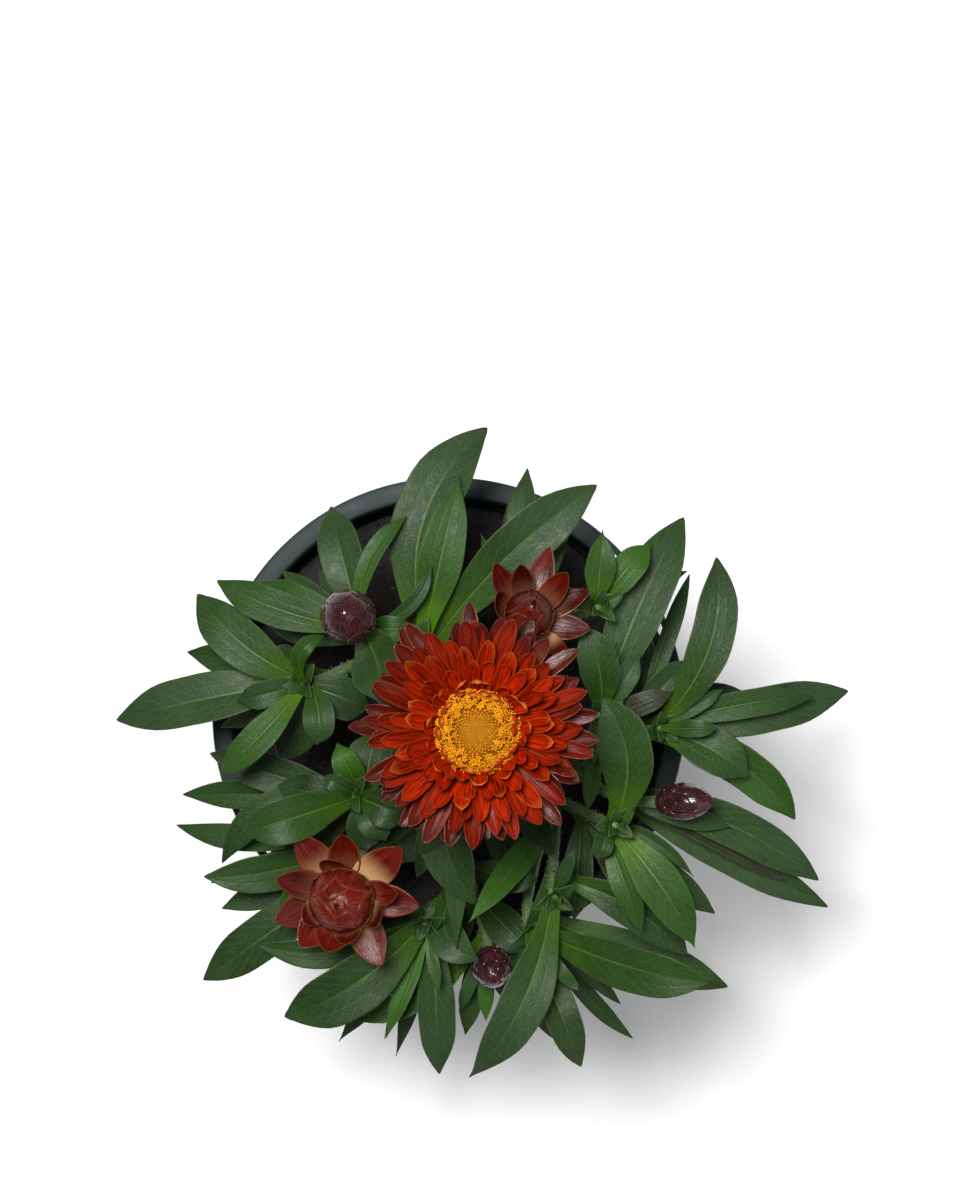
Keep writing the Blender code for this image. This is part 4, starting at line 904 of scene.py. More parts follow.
def open_flower(stem, materials):
    place = head_place(stem)
    draw = random.Random(11)
    build = Build()
    turned_body(build, OPEN_CORE, place, 48, (0.2, 0.0, 0.5))
    for count, phase, root, angles, length, width, cup, hook, layer, light in OPEN_BRACTS:
        for i in range(count):
            around = math.tau * (i + phase + draw.uniform(-0.40, 0.40)) / count
            start = (angles[0] + draw.uniform(-3.5, 4.5), angles[1] + draw.uniform(-4, 6))
            longer = length * draw.uniform(0.82, 1.07)
            roll = math.radians(draw.uniform(-24, 24))
            tone = (layer, min(max(light + draw.uniform(-0.30, 0.30), 0.0), 1.0),
                    draw.uniform(0.0, 1.0))
            fine_bract(build, place, around, root, start, longer,
                       width * draw.uniform(0.88, 1.08), cup * draw.uniform(0.7, 1.3), roll,
                       tone, hook * draw.uniform(0.4, 1.6), draw.uniform(-0.16, 0.16))
    for row in range(UNDER_ROWS):
        for i in range(UNDER_SCALES):
            around = math.tau * (i + 0.5 * (row % 2)) / UNDER_SCALES
            fine_scale(build, OPEN_CORE, place, around, 0.06 + 0.11 * row, 0.36 + 0.11 * row,
                       3.6, 0.5, (0.0, 0.1, (0.37 * i) % 1.0))
    build.finish("open_flower_bracts", materials["bract"], "bract_red", ["flower_bracts"])

    build = Build()
    lift = place @ Matrix.Translation((0, 0, RECEPTACLE_TOP + GAP))
    turned_body(build, DISC_CORE, lift, 64, (0.0, 0.0, 0.0))
    add_florets(build, lift)
    build.finish("open_flower_disc", materials["disc"], "disc_gold", ["flower_disc"])


# Rings of a floret, as shares of its height and width, and the faces of one of its lobes
OPEN_FLORET = [(0.0, 0.55), (0.45, 0.62), (0.85, 0.8), (1.0, 1.05)]
CLOSED_FLORET = [(0.0, 0.7), (0.4, 1.0), (0.75, 0.85), (0.95, 0.4)]
LOBE_FACES = [(0, 1, 2, 3), (3, 2, 4), (6, 5, 8, 7), (7, 8, 9), (1, 0, 5, 6), (2, 1, 6, 7),
              (0, 3, 8, 5), (4, 2, 7, 9), (3, 4, 9, 8)]


def add_floret(build, at, lean, tall, wide, sides, opened, tone, draw):
    """A floret: a small tube, closed like a bead or open with turned-out lobes."""
    axis = lean.normalized()
    turn = Vector((0, 0, 1)).rotation_difference(axis).to_matrix()
    spin = draw.uniform(0.0, math.tau)
    rings = OPEN_FLORET if opened else CLOSED_FLORET
    points, places = [], []
    for share, swell in rings:
        for k in range(sides):
            a = spin + math.tau * k / sides
            p = Vector((math.cos(a) * wide * swell, math.sin(a) * wide * swell, share * tall))
            points.append(at + turn @ p)
            places.append((share * 0.8, 0.0, 0.0))
    first, last = end_faces(len(rings), sides)
    middle = len(points)
    points.append(at + turn @ Vector((0, 0, tall * (0.72 if opened else 1.06))))
    places.append((0.3 if opened else 0.9, 0.0, 0.0))
    fan = [(k, last[(i + 1) % sides], middle) for i, k in enumerate(last)]
    build.add(points, ring_faces(len(rings), sides) + [first] + fan, places, tone)
    if not opened:
        return
    for k in range(sides):
        a = spin + math.tau * (k + 0.5) / sides
        out = turn @ Vector((math.cos(a), math.sin(a), 0))
        root = at + axis * tall * 0.98 + out * wide * 0.8
        reach = wide * draw.uniform(1.1, 1.9)
        curl = draw.uniform(-0.2, 0.7)
        mid = root + out * reach * 0.55 + axis * reach * curl
        tip = root + out * reach * 1.0 + axis * reach * (curl - 0.35)
        half = axis.cross(out) * (wide * 0.46)
        thin = axis * 0.05
        rim = [root - half, root + half, mid + half * 0.8, mid - half * 0.8]
        build.add([p + thin for p in rim] + [tip] + [p - thin for p in rim] + [tip - thin * 2],
                  LOBE_FACES, (1.0, 0.0, 0.0), tone)


# Zones of the disc: outer radius, and spacing, height, width, sides and openness of a floret
DISC_ZONES = [
    (4.6, 0.40, 0.75, 0.33, 5, False),
    (5.8, 0.44, 1.25, 0.42, 6, False),
    (9.5, 0.50, 2.1, 0.46, 5, True),
]


def add_florets(build, lift):
    """Florets on a spiral: fine closed ones inside, beads, then open curly ones."""
    draw = random.Random(5)
    golden = math.pi * (3.0 - math.sqrt(5.0))
    side = list(zip(*DISC_CORE[:-2]))
    turn_only = lift.to_3x3()
    radius, index = 0.0, 0
    while radius < DISC_ZONES[-1][0]:
        zone = next(zone for zone in DISC_ZONES if radius < zone[0])
        spacing, tall, wide, sides, opened = zone[1:]
        radius += spacing * spacing / max(2.0 * radius, 0.4)
        index += 1
        turn = index * golden
        jitter = 0.12 if opened else 0.04
        r = radius + draw.uniform(-jitter, jitter)
        x, y = r * math.cos(turn), r * math.sin(turn)
        sunk = 0.5 * math.exp(-(r / 3.0) ** 2)
        z = float(np.interp(min(r, 8.7), *side)) - 0.25 - sunk
        slope = 0.10 + 0.9 * max(r - 4.8, 0.0) / 4.4
        lean = Vector((math.cos(turn) * slope, math.sin(turn) * slope, 1.0))
        if opened:
            lean += Vector((draw.uniform(-0.35, 0.35), draw.uniform(-0.35, 0.35), 0.0))
        tone = (min(r / 9.4, 1.0), draw.uniform(0.0, 1.0),
                1.0 if opened else 0.4 if radius > DISC_ZONES[0][0] else 0.0)
        add_floret(build, lift @ Vector((x, y, z)), turn_only @ lean,
                   tall * draw.uniform(0.8, 1.25), wide, sides, opened, tone, draw)


# Closed scales of a dome: count, share of the side at their foot and tip, width, stand-off
NORTH_SCALES = [(5, 0.02, 0.60, 9.4, 1.0), (4, 0.12, 0.86, 9.6, 0.8), (3, 0.25, 0.99, 9.0, 0.5)]
SOUTH_WEST_SCALES = [(6, 0.02, 0.56, 11.5, 1.0), (5, 0.12, 0.78, 12.0, 0.8),
                     (4, 0.25, 0.94, 11.5, 0.6), (3, 0.45, 1.0, 9.0, 0.4)]
BUD_SCALES = [(7, 0.02, 0.34, 6.4, 0.5), (7, 0.08, 0.52, 7.2, 0.45), (6, 0.22, 0.72, 8.0, 0.45),
              (5, 0.40, 0.90, 8.4, 0.4), (4, 0.58, 1.0, 7.6, 0.3)]


def closed_scales(build, core, rows, place, seed, tone, twist, wide=1.0):
    draw = random.Random(seed)
    for n, (count, low, high, width, proud) in enumerate(rows):
        for i in range(count):
            around = math.tau * (i + 0.5 * n + draw.uniform(-0.12, 0.12)) / count
            shade = (tone[0], tone[1] + draw.uniform(-0.2, 0.2), draw.uniform(0.0, 1.0))
            fine_scale(build, core, place, around, low, high + draw.uniform(-0.03, 0.0),
                       width * wide, proud * draw.uniform(0.7, 1.2), shade, twist)


def half_open(name, stem, core, layers, scales, seed, tone, twist, material):
    """A flower that is opening: a dome of closed scales in a ring of open bracts."""
    place = head_place(stem)
    draw = random.Random(seed)
    build = Build()
    turned_body(build, core, place, 40, (tone[0], 0.0, 0.5))
    closed_scales(build, core, scales, place, seed + 1, tone, twist)
    for phase, root, angles, length, width, cup in layers:
        around = math.tau * (phase + draw.uniform(-0.015, 0.015))
        start = (angles[0] + draw.uniform(-5, 5), angles[1] + draw.uniform(-6, 6))
        shade = (tone[0], max(tone[1] - 0.3 + draw.uniform(-0.25, 0.3), 0.0),
                 draw.uniform(0.0, 1.0))
        roll = math.radians(draw.uniform(-12, 12))
        fine_bract(build, place, around, root, start, length * draw.uniform(0.92, 1.06),
                   width * draw.uniform(1.0, 1.2), cup, roll, shade,
                   draw.uniform(-10, 25), draw.uniform(-0.1, 0.1), POINTED_OUTLINE)
    build.finish(name + "_bracts", material, "bract_russet", [name])


def closed_bud(name, stem, core, seed, wide, material):
    place = head_place(stem)
    build = Build()
    turned_body(build, core, place, 40, (0.0, 0.0, 0.5))
    closed_scales(build, core, BUD_SCALES, place, seed, (0.0, 0.5), 0.1, wide)
    build.finish(name + "_scales", material, "bud_plum", [name])


class Paint:
    """A material's node tree, with short calls for the nodes that it uses."""

    def __init__(self, name, roughness=0.5, specular=0.5):
        self.material = bpy.data.materials.new(name)
        self.material.use_nodes = True
        self.tree = self.material.node_tree
        self.shader = self.tree.nodes["Principled BSDF"]
        self.shader.inputs["Roughness"].default_value = roughness
        self.shader.inputs["Specular IOR Level"].default_value = specular

    def feed(self, socket, source):
        if isinstance(source, bpy.types.NodeSocket):
            self.tree.links.new(source, socket)
        else:
            socket.default_value = source

    def node(self, kind, inputs=(), **settings):
        made = self.tree.nodes.new("ShaderNode" + kind)
        for key, setting in settings.items():
            setattr(made, key, setting)
        for key, source in dict(inputs).items():
            self.feed(made.inputs[key], source)
        return made

    def math(self, operation, a, b=0.0):
        return self.node("Math", {0: a, 1: b, 2: 0.0}, operation=operation).outputs[0]

    def times(self, a, b):
        return self.math("MULTIPLY", a, b)

    def ramp(self, source, low, high, to_low=0.0, to_high=1.0, smooth=True):
        kind = "SMOOTHSTEP" if smooth else "LINEAR"
        made = self.node("MapRange", {0: source, 1: low, 2: high, 3: to_low, 4: to_high},
                         interpolation_type=kind)
        return made.outputs[0]

    def mix(self, factor, a, b, blend="MIX"):
        made = self.node("Mix", {0: factor}, data_type="RGBA", blend_type=blend)
        for key, source in ((6, a), (7, b)):
            self.feed(made.inputs[key], (*source, 1.0) if isinstance(source, tuple) else source)
        return made.outputs[2]

    def dimmed(self, colour, amount):
        return self.mix(1.0, colour, self.vector(amount, amount, amount), "MULTIPLY")

    def parts(self, name):
        source = self.node("Attribute", attribute_name=name).outputs["Vector"]
        return self.node("SeparateXYZ", {0: source}).outputs

    def position(self):
        return self.node("TexCoord").outputs["Object"]

    def noise(self, scale, detail=3.0, rough=0.5, at=None):
        inputs = {"Vector": at or self.position(), "Scale": scale, "Detail": detail,
                  "Roughness": rough}
        return self.node("TexNoise", inputs).outputs["Fac"]

    def streaks(self, scale, across, along, seed, shift):
        """Lines that run along a bract or scale, other ones on each."""
        u, v, _ = self.parts("place")
        return self.noise(scale, 3.0, 0.6, self.vector(
            self.times(v, across), self.times(u, along), self.times(seed, shift)))

    def vector(self, x, y, z):
        return self.node("CombineXYZ", {0: x, 1: y, 2: z}).outputs[0]

    def bell(self, source, centre, width):
        off = self.math("DIVIDE", self.math("SUBTRACT", source, centre), width)
        return self.math("EXPONENT", self.times(self.times(off, off), -1.0))

    def finish(self, colour, roughness=None, height=None, distance=0.0002, strength=0.5):
        self.feed(self.shader.inputs["Base Color"], colour)
        if roughness is not None:
            self.feed(self.shader.inputs["Roughness"], roughness)
        if height is not None:
            bump = self.node("Bump", {"Strength": strength, "Distance": distance,
                                      "Height": height})
            self.feed(self.shader.inputs["Normal"], bump.outputs[0])
        return self.material


def leaf_material():
    paint = Paint("leaf", 0.5, 0.22)
    u, v, under = paint.parts("place")
    grey, light, purple = paint.parts("tone")
    across = paint.math("ABSOLUTE", v)
    green = paint.mix(paint.ramp(u, 0.0, 0.5), (0.078, 0.185, 0.002), (0.022, 0.078, 0.003))
    bloom = paint.mix(paint.ramp(u, 0.1, 0.8), (0.028, 0.072, 0.009), (0.030, 0.066, 0.021))
    colour = paint.mix(paint.times(grey, paint.ramp(u, 0.0, 0.45, 0.45, 1.0)), green, bloom)
    colour = paint.mix(purple, colour, (0.045, 0.036, 0.026))
    # Each leaf is dimmed by its lightness and a little noise; for the "k" leaves low in the canopy this
    # dimming is painted shade
    colour = paint.dimmed(colour, paint.math(
        "ADD", paint.ramp(light, 0.0, 1.0, 0.20, 0.95, False),
        paint.ramp(paint.noise(90.0, 3.0), 0.3, 0.7, -0.12, 0.12, False)))
    rib = paint.times(paint.bell(v, 0.0, 0.035), paint.ramp(u, 0.2, 0.9, 0.6, 0.05))
    colour = paint.mix(rib, colour, (0.13, 0.21, 0.03))
    colour = paint.mix(paint.times(paint.bell(across, 0.45, 0.03), 0.06), colour,
                       (0.08, 0.15, 0.03))
    edge = paint.times(paint.ramp(across, 0.94, 1.0), 0.30)
    colour = paint.mix(edge, colour, (0.11, 0.16, 0.05))
    slant = paint.math("ADD", paint.times(u, 80.0), paint.times(across, -16.0))
    side = paint.times(paint.ramp(paint.math("SINE", slant), 0.80, 1.0), 0.10)
    colour = paint.mix(side, colour, (0.10, 0.17, 0.04))
    blotch = paint.times(paint.ramp(paint.noise(330.0, 3.0, 0.6), 0.48, 0.72), 0.35)
    colour = paint.mix(blotch, colour, (0.020, 0.045, 0.012))
    down = paint.times(paint.ramp(paint.noise(1500.0, 2.0, 0.5), 0.58, 0.72), 0.12)
    colour = paint.mix(down, colour, (0.15, 0.20, 0.12))
    colour = paint.mix(paint.times(under, 0.55), colour, (0.060, 0.095, 0.032))
    colour = paint.mix(paint.ramp(u, 0.988, 0.994), colour, (0.035, 0.022, 0.014))
    rough = paint.ramp(paint.noise(400.0, 2.0), 0.3, 0.7, 0.38, 0.56, False)
    height = paint.math("ADD", paint.noise(1300.0, 3.0, 0.6),
                        paint.times(paint.bell(across, 0.45, 0.05), -0.25))
    return paint.finish(colour, rough, height, 0.0003, 0.45)


def stem_material():
    paint = Paint("stem", 0.6)
    u, v, hair = paint.parts("place")
    streak = paint.noise(7.0, 2.0, 0.5, paint.vector(paint.times(v, 2.0), u, 0.0))
    colour = paint.mix(paint.ramp(u, 0.0, 0.5), (0.10, 0.055, 0.035), (0.060, 0.120, 0.030))
    colour = paint.mix(paint.ramp(streak, 0.35, 0.65), colour, (0.090, 0.150, 0.045))
    wool = paint.times(paint.ramp(paint.noise(1400.0, 2.0), 0.5, 0.7), 0.35)
    colour = paint.mix(wool, colour, (0.30, 0.33, 0.27))
    colour = paint.mix(hair, colour, (0.50, 0.52, 0.45))
    return paint.finish(colour, None, paint.noise(900.0, 3.0), 0.0004, 0.5)


def bract_material():
    paint = Paint("bract", 0.3, 0.24)
    u, v, under = paint.parts("place")
    layer, light, seed = paint.parts("tone")
    lines = paint.streaks(3.2, 2.6, 0.9, seed, 37.0)
    deep = paint.mix(layer, (0.045, 0.004, 0.001), (0.075, 0.002, 0.001))
    bright = paint.mix(layer, (0.20, 0.014, 0.002), (0.64, 0.024, 0.001))
    colour = paint.mix(paint.ramp(lines, 0.30, 0.66), deep, bright)
    colour = paint.dimmed(colour, paint.ramp(light, 0.0, 1.0, 0.25, 1.05, False))
    root = paint.times(paint.ramp(u, 0.05, 0.4, 1.0, 0.0), 0.3)
    colour = paint.mix(root, colour, (0.60, 0.10, 0.010))
    tip = paint.times(paint.ramp(u, 0.80, 1.0), paint.ramp(layer, 0.4, 0.9))
    colour = paint.mix(paint.times(tip, paint.ramp(seed, 0.2, 0.8)), colour,
                       (0.80, 0.20, 0.020))
    dark_tip = paint.times(paint.ramp(u, 0.55, 1.0), paint.ramp(layer, 0.1, 0.45, 1.0, 0.0))
    colour = paint.mix(paint.times(dark_tip, 0.7), colour, (0.045, 0.006, 0.004))
    gilt = paint.times(paint.ramp(paint.math("ABSOLUTE", v), 0.72, 1.0),
                       paint.ramp(seed, 0.45, 1.0))
    colour = paint.mix(paint.times(gilt, 0.3), colour, (0.46, 0.10, 0.010))
    tan = paint.mix(paint.ramp(lines, 0.4, 0.6), (0.26, 0.05, 0.010), (0.12, 0.008, 0.003))
    colour = paint.mix(paint.times(under, paint.ramp(layer, 0.0, 1.0, 0.6, 0.45)), colour, tan)
    rough = paint.ramp(lines, 0.3, 0.7, 0.20, 0.34, False)
    return paint.finish(colour, rough, lines, 0.0005, 0.35)


def russet_material(name, pale):
    paint = Paint(name, 0.33, 0.22)
    u, v, under = paint.parts("place")
    _, light, seed = paint.parts("tone")
    lines = paint.streaks(3.0, 2.8, 0.8, seed, 29.0)
    colour = paint.mix(paint.ramp(lines, 0.20, 0.80), (0.030, 0.003, 0.002),
                       (0.18, 0.011, 0.003))
    colour = paint.dimmed(colour, paint.ramp(light, 0.0, 1.0, 0.3, 1.1, False))
    root = paint.times(paint.ramp(u, 0.22, 0.66, pale, 0.0),
                       paint.ramp(seed, 0.35, 0.85, 0.12, 1.0))
    colour = paint.mix(root, colour, (0.50, 0.30, 0.14))
    edge = paint.times(paint.ramp(paint.math("ABSOLUTE", v), 0.8, 1.0), 0.2)
    colour = paint.mix(edge, colour, (0.30, 0.09, 0.03))
    colour = paint.mix(paint.times(under, 0.45), colour, (0.22, 0.08, 0.03))
    rough = paint.ramp(lines, 0.3, 0.7, 0.22, 0.34, False)
    return paint.finish(colour, rough, lines, 0.0005, 0.35)


def bud_material():
    paint = Paint("bud", 0.22, 0.45)
    u, v, _ = paint.parts("place")
    _, light, seed = paint.parts("tone")
    lines = paint.streaks(3.4, 2.2, 1.2, seed, 23.0)
    colour = paint.mix(paint.ramp(lines, 0.35, 0.65), (0.014, 0.004, 0.005),
                       (0.050, 0.011, 0.013))
    colour = paint.mix(paint.ramp(u, 0.0, 0.35, 0.2, 0.0), colour, (0.20, 0.10, 0.05))
    edge = paint.times(paint.ramp(paint.math("ABSOLUTE", v), 0.85, 1.0), 0.25)
    colour = paint.mix(edge, colour, (0.11, 0.04, 0.03))
    colour = paint.dimmed(colour, paint.ramp(light, 0.0, 1.0, 0.6, 1.4, False))
    rough = paint.ramp(lines, 0.3, 0.7, 0.12, 0.24, False)
    return paint.finish(colour, rough, lines, 0.0003, 0.2)


def disc_material():
    paint = Paint("disc", 0.7, 0.06)
    u, _, _ = paint.parts("place")
    outer, light, _ = paint.parts("tone")
    low = paint.mix(outer, (0.13, 0.050, 0.002), (0.50, 0.130, 0.003))
    high = paint.mix(outer, (0.36, 0.150, 0.003), (0.98, 0.37, 0.008))
    colour = paint.mix(paint.ramp(u, 0.1, 1.0), low, high)
    colour = paint.dimmed(colour, paint.ramp(light, 0.0, 1.0, 0.7, 1.25, False))
    speck = paint.ramp(paint.noise(1800.0, 2.0), 0.4, 0.6, 0.0, 0.35)
    colour = paint.mix(speck, colour, (0.32, 0.10, 0.010))
    return paint.finish(colour, None, paint.noise(2500.0, 2.0), 0.0002, 0.4)


def soil_material():
    paint = Paint("soil", 0.95)
    cloud = paint.noise(160.0, 4.0, 0.65)
    speck = paint.noise(700.0, 2.0, 0.5)
    colour = paint.mix(paint.ramp(cloud, 0.35, 0.65), (0.005, 0.005, 0.005),
                       (0.014, 0.011, 0.009))
    colour = paint.mix(paint.ramp(speck, 0.68, 0.74), colour, (0.075, 0.035, 0.027))
    fibre = paint.ramp(paint.noise(420.0, 3.0, 0.7), 0.68, 0.74)
    colour = paint.mix(fibre, colour, (0.12, 0.10, 0.075))
    height = paint.math("ADD", cloud, paint.times(speck, 0.5))
    return paint.finish(colour, None, height, 0.0012, 0.7)


def pot_material():
    paint = Paint("pot", 0.6, 0.18)
    height = paint.node("SeparateXYZ", {0: paint.position()}).outputs[2]
    cloud = paint.noise(60.0, 4.0, 0.6)
    streak = paint.noise(1.0, 3.0, 0.6, paint.node("Mapping", {
        "Vector": paint.position(), "Scale": (260.0, 260.0, 9.0)}).outputs[0])
    colour = paint.mix(paint.ramp(cloud, 0.3, 0.7), (0.008, 0.016, 0.017),
                       (0.014, 0.025, 0.026))
    colour = paint.mix(paint.ramp(streak, 0.60, 0.78, 0.0, 0.15), colour, (0.05, 0.06, 0.058))
    dust = paint.times(paint.ramp(cloud, 0.5, 0.75), 0.18)
    colour = paint.mix(dust, colour, (0.08, 0.08, 0.07))
    foot = paint.times(paint.ramp(height, 0.0, 0.02, 0.35, 0.0), paint.ramp(cloud, 0.35, 0.6))
    colour = paint.mix(foot, colour, (0.06, 0.045, 0.035))
    rough = paint.ramp(cloud, 0.3, 0.7, 0.42, 0.58, False)
    return paint.finish(colour, rough, paint.noise(2600.0, 2.0, 0.5), 0.0001, 0.25)


def pot_profile():
    """The pot's section in millimetres, (radius, height), up the inside and down outside."""
    top = POT_HEIGHT
    wall_top = RIM_RADIUS - RIM_BAND
    return [
        (0, WALL + 0.4), (BASE_RADIUS - WALL - 3.0, WALL + 0.4),
        (BASE_RADIUS - WALL - 1.2, WALL + 1.0), (BASE_RADIUS - WALL - 0.1, WALL + 3.0),
        (wall_top - WALL - 1.2, top - 20), (wall_top - WALL + 0.4, top - 19),
        (wall_top - 0.95, top - 0.6), (wall_top - 0.5, top - 0.1), (wall_top + 0.1, top),
        (RIM_RADIUS - 0.9, top), (RIM_RADIUS - 0.3, top - 0.2), (RIM_RADIUS, top - 0.8),
        (RIM_RADIUS - 0.3, top - SKIRT_DEPTH + 0.3), (RIM_RADIUS - 0.6, top - SKIRT_DEPTH),
        (RIM_RADIUS - 1.3, top - SKIRT_DEPTH), (RIM_RADIUS - 1.5, top - SKIRT_DEPTH + 0.3),
        (RIM_RADIUS - 1.4, top - WALL - 0.4), (RIM_RADIUS - 1.8, top - WALL),
        (wall_top + WALL, top - WALL), (wall_top + WALL - 0.6, top - WALL - 0.6),
        (wall_top + 0.2, top - 19), (BASE_RADIUS + 0.05, 2.4), (BASE_RADIUS - 0.5, 0.9),
        (BASE_RADIUS - 2.0, 0), (0, 0),
    ]


def solid_mesh(name, points, faces):
    """A mesh in metres from points in millimetres, with its faces turned outwards."""
    mesh = bpy.data.meshes.new(name)
    mesh.from_pydata([(x * MM, y * MM, z * MM) for x, y, z in points], [], faces)
    work = bmesh.new()
    work.from_mesh(mesh)
    bmesh.ops.recalc_face_normals(work, faces=work.faces)
    work.to_mesh(mesh)
    work.free()
    return mesh


def cut_mesh(mesh, cutters):
    """The mesh with the cutters' bodies taken out of it."""
    body = bpy.data.objects.new("body", mesh)
    tools = bpy.data.collections.new("tools")
    bpy.context.scene.collection.objects.link(body)
    bpy.context.scene.collection.children.link(tools)
    for cutter in cutters:
        tools.objects.link(bpy.data.objects.new("cutter", cutter))
    cut = body.modifiers.new("Cut", "BOOLEAN")
    cut.operation = "DIFFERENCE"
    cut.operand_type = "COLLECTION"
    cut.collection = tools
    depsgraph = bpy.context.evaluated_depsgraph_get()
    made = bpy.data.meshes.new_from_object(body.evaluated_get(depsgraph))
    for tool in list(tools.objects):
        bpy.data.objects.remove(tool)
    bpy.data.collections.remove(tools)
    bpy.data.objects.remove(body)
    return made


def slot_cutter(name, start):
    """A curved bar with rounded ends that cuts one long slot through the rim's top."""
    sweep = math.radians(SLOT_END - SLOT_START)
    middle, half = (SLOT_INNER + SLOT_OUTER) / 2, (SLOT_OUTER - SLOT_INNER) / 2

    def at(angle, out, past=0.0):
        return (math.cos(angle) * out - math.sin(angle) * past,
                math.sin(angle) * out + math.cos(angle) * past)

    def rounded(angle, way):
        turns = [math.pi * k / 6 for k in range(1, 6)]
        return [at(angle, middle + half * math.cos(turn) * way, half * math.sin(turn) * way)
                for turn in turns]

    outline = [at(start + sweep * k / 24, SLOT_OUTER) for k in range(25)]
    outline += rounded(start + sweep, 1.0)
    outline += [at(start + sweep * (24 - k) / 24, SLOT_INNER) for k in range(25)]
    outline += rounded(start, -1.0)
    points = [(x, y, POT_HEIGHT + z) for z in (-SLOT_CUT, SLOT_CUT) for x, y in outline]
    count = len(outline)
    return solid_mesh(name, points, end_faces(2, count) + ring_faces(2, count))


def fine_pot(material):
    rows = [p for p in pot_profile() if p[0] > 0]
    points = [p for radius, height in rows for p in ring(radius, height, POT_SIDES)]
    faces = ring_faces(len(rows), POT_SIDES) + end_faces(len(rows), POT_SIDES)
    cutters = [slot_cutter(f"slot_{i}", math.radians(SLOT_START + 180.0 * i)) for i in range(2)]
    for i in range(DRAIN_COUNT):
        angle = math.tau * (i + 0.5) / DRAIN_COUNT
        place = Matrix.Translation((DRAIN_RING * math.cos(angle) * MM,
                                    DRAIN_RING * math.sin(angle) * MM, 0))
        work = bmesh.new()
        bmesh.ops.create_cone(work, cap_ends=True, segments=32, radius1=DRAIN_RADIUS * MM,
                              radius2=DRAIN_RADIUS * MM, depth=12 * MM, matrix=place)
        cutters.append(bpy.data.meshes.new(f"drain_{i}"))
        work.to_mesh(cutters[-1])
        work.free()
    mesh = cut_mesh(solid_mesh("pot_body", points, faces), cutters)
    mesh.shade_smooth()
    mesh.set_sharp_from_angle(angle=math.radians(35))
    finish_piece("pot_shell", mesh, material, ["pot"])


# A crumb of soil: an eight-sided lump
CRUMB_POINTS = [(0, 0, 1), (0, 0, -1), (1, 0, 0), (0, 1, 0), (-1, 0, 0), (0, -1, 0)]
CRUMB_FACES = [(0, 2, 3), (0, 3, 4), (0, 4, 5), (0, 5, 2), (1, 3, 2), (1, 4, 3), (1, 5, 4),
               (1, 2, 5)]


def fine_soil(material):
    """Lumpy soil with crumbs and bits of bark, level with the part's soil."""
    build = Build()
    inner_top = RIM_RADIUS - RIM_BAND - WALL - 1.2 - 0.5
    inner_low = BASE_RADIUS - WALL - 2.0
    level = POT_HEIGHT - SOIL_DROP
    rings, segments = SOIL_RINGS, SOIL_SIDES
    points = [(0.0, 0.0, level)]
    for i in range(1, rings + 1):
        for x, y, _ in ring(inner_top * i / rings, 0.0, segments):
            at = Vector((x, y, 0.0))
            rise = 1.3 * noise.noise(at * 0.11) + 0.9 * noise.noise(at * 0.45)
            rise += 0.7 * abs(noise.noise(at * 0.95))
            points.append((x, y, level + rise - 0.2 + 0.8 * (i / rings) ** 6))
    base = len(points)
    points += ring(inner_low, WALL + 0.4 + GAP, segments)
    faces = []
    for k in range(segments):
        n = (k + 1) % segments
        faces.append((0, 1 + k, 1 + n))
        for i in range(rings - 1):
            low, high = 1 + i * segments, 1 + (i + 1) * segments
            faces.append((low + k, high + k, high + n, low + n))
        outer = 1 + (rings - 1) * segments
        faces.append((outer + k, base + k, base + n, outer + n))
    faces.append(tuple(reversed([base + k for k in range(segments)])))
    build.add(points, faces, (0, 0, 0), (0, 0, 0))
    draw = random.Random(21)
    for _ in range(CRUMBS):
        r = inner_top * math.sqrt(draw.uniform(0.0, 0.985))
        a = draw.uniform(0.0, math.tau)
        size = draw.uniform(0.35, 1.15) * (1.8 if draw.random() < 0.04 else 1.0)
        centre = np.array((r * math.cos(a), r * math.sin(a), level + draw.uniform(-0.1, 0.9)))
        spin = Matrix.Rotation(draw.uniform(0, math.tau), 3,
                               Vector((draw.uniform(-1, 1), draw.uniform(-1, 1), 0.4)))
        stretch = np.array([draw.uniform(0.6, 1.5) for _ in range(3)]) * size
        crumb = [centre + np.array(spin @ Vector(np.array(p) * stretch * draw.uniform(0.7, 1.2)))
                 for p in CRUMB_POINTS]
        build.add(crumb, CRUMB_FACES, (0, 0, 0), (1, draw.random(), 0))
    made = build.finish("soil_bed", material, "soil", ["soil"])
    made.data.set_sharp_from_angle(angle=math.radians(50))


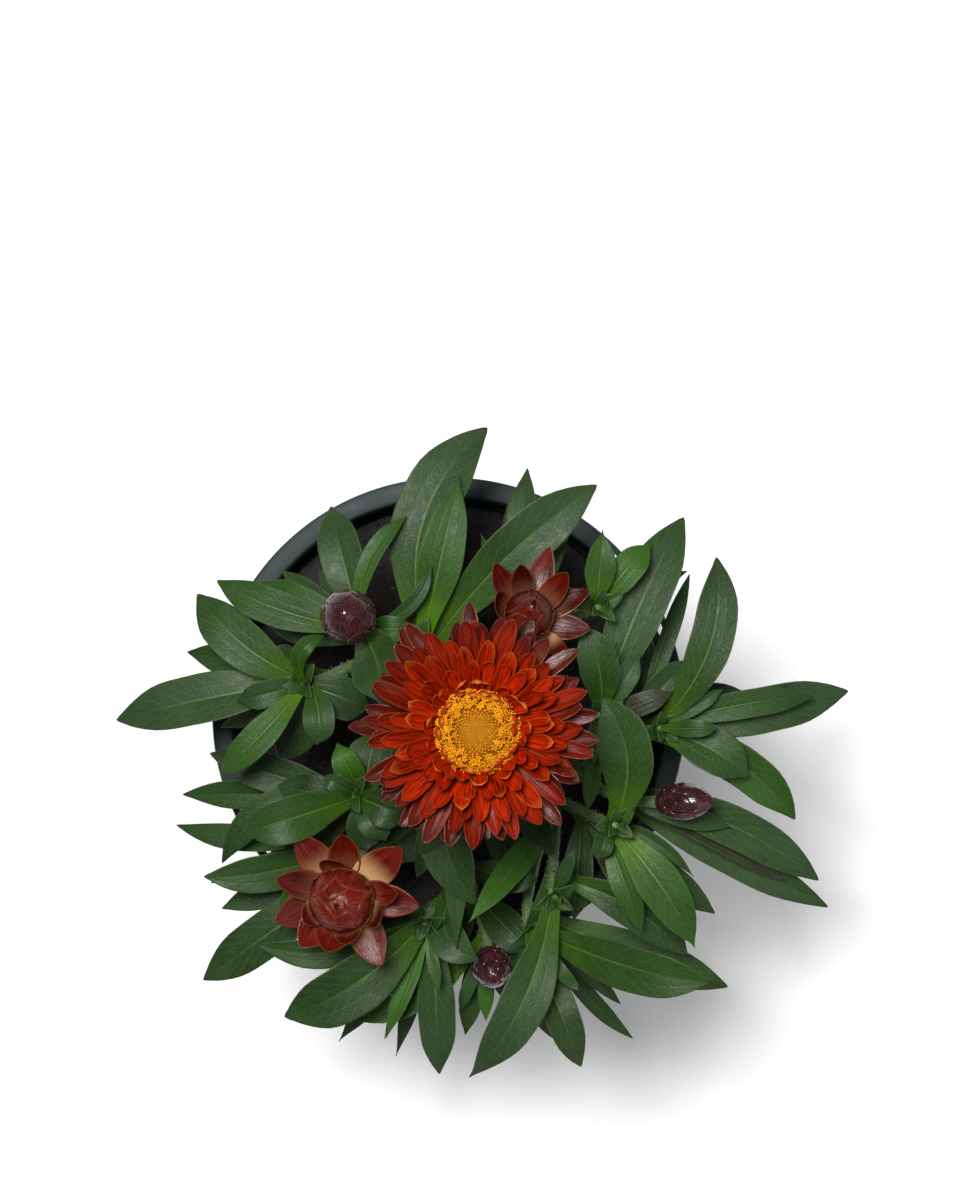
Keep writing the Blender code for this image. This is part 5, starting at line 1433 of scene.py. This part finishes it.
def studio():
    """A plain pale floor, soft light and the photograph's camera, straight above."""
    scene = bpy.context.scene
    floor = bpy.data.meshes.new("floor")
    floor.from_pydata([(-FLOOR_HALF, -FLOOR_HALF, 0), (FLOOR_HALF, -FLOOR_HALF, 0),
                       (FLOOR_HALF, FLOOR_HALF, 0), (-FLOOR_HALF, FLOOR_HALF, 0)],
                      [], [(0, 1, 2, 3)])
    paint = Paint("floor", 0.9)
    cloud = paint.ramp(paint.noise(3.0, 2.0), 0.3, 0.7)
    pale = paint.mix(cloud, (0.90, 0.90, 0.90), (0.93, 0.93, 0.93))
    floor.materials.append(paint.finish(pale))
    made = bpy.data.objects.new("floor", floor)
    scene.collection.objects.link(made)

    world = bpy.data.worlds.new("studio")
    scene.world = world
    world.use_nodes = True
    background = world.node_tree.nodes["Background"]
    background.inputs[0].default_value = (0.97, 0.98, 1.0, 1.0)
    background.inputs[1].default_value = 0.20
    for name, (spot, size, power) in LIGHTS.items():
        light = bpy.data.lights.new(name, "AREA")
        light.shape = "DISK"
        light.size = size
        light.energy = power
        lamp = bpy.data.objects.new(name, light)
        lamp.location = spot
        lamp.rotation_mode = "QUATERNION"
        lamp.rotation_quaternion = (LIT_POINT - Vector(spot)).to_track_quat("-Z", "Y")
        scene.collection.objects.link(lamp)
    scene.view_settings.view_transform = "Standard"

    lens = bpy.data.cameras.new("camera")
    lens.sensor_fit = "VERTICAL"
    lens.sensor_height = 36.0
    lens.lens = lens.sensor_height * VIEW_HEIGHT / SEEN_HEIGHT
    camera = bpy.data.objects.new("camera", lens)
    camera.location = (VIEW_X * MM, VIEW_Y * MM, (POT_HEIGHT + VIEW_HEIGHT) * MM)
    scene.collection.objects.link(camera)
    scene.camera = camera


def main():
    studio()
    leaf, bark = leaf_material(), stem_material()
    heads = {"bract": bract_material(), "disc": disc_material()}
    stems = make_stems()
    leaves = make_leaves(stems)
    settle(leaves, stems)
    tones = {shoot: iter(row) for shoot, row in ROW_TONES.items()}
    blades = {node: Build() for node in STEM_FEET}
    for number, blade in enumerate(leaves):
        fine_leaf(blades[blade.node], blade, number, LEAF_TONES[next(tones[blade.shoot])])
    for number, (name, stem) in enumerate(stems.items()):
        if name != "main" and name not in HEAD_ROOM:
            shoot_tip(blades[stem.node], stem, number)
    for node, blade in blades.items():
        place = node.removeprefix("stem_")
        blade.finish("leaves_" + place, leaf, "leaf_green", [node])
        tubes = Build()
        for number, stem in enumerate(stems.values()):
            if stem.node == node:
                fine_stem(tubes, stem, number)
                stem_hairs(tubes, stem, number)
        tubes.finish("shoots_" + place, bark, "leaf_green", [node])
    open_flower(stems["main"], heads)
    half_open("flower_north", stems["n"], NORTH_CORE, NORTH_LAYERS, NORTH_SCALES, 31,
              (0.3, 0.45), 0.15, russet_material("north_bracts", 0.9))
    half_open("flower_south_west", stems["sw"], SOUTH_WEST_CORE, SOUTH_WEST_LAYERS,
              SOUTH_WEST_SCALES, 41, (0.6, 0.75), 0.45,
              russet_material("south_west_bracts", 0.8))
    shade = bud_material()
    for seed, (name, (shoot, wide, tall)) in enumerate(BUDS.items()):
        core = [(radius * wide, height * tall) for radius, height in BUD_CORE]
        closed_bud(name, stems[shoot], core, 60 + seed, wide, shade)
    fine_soil(soil_material())
    fine_pot(pot_material())


main()
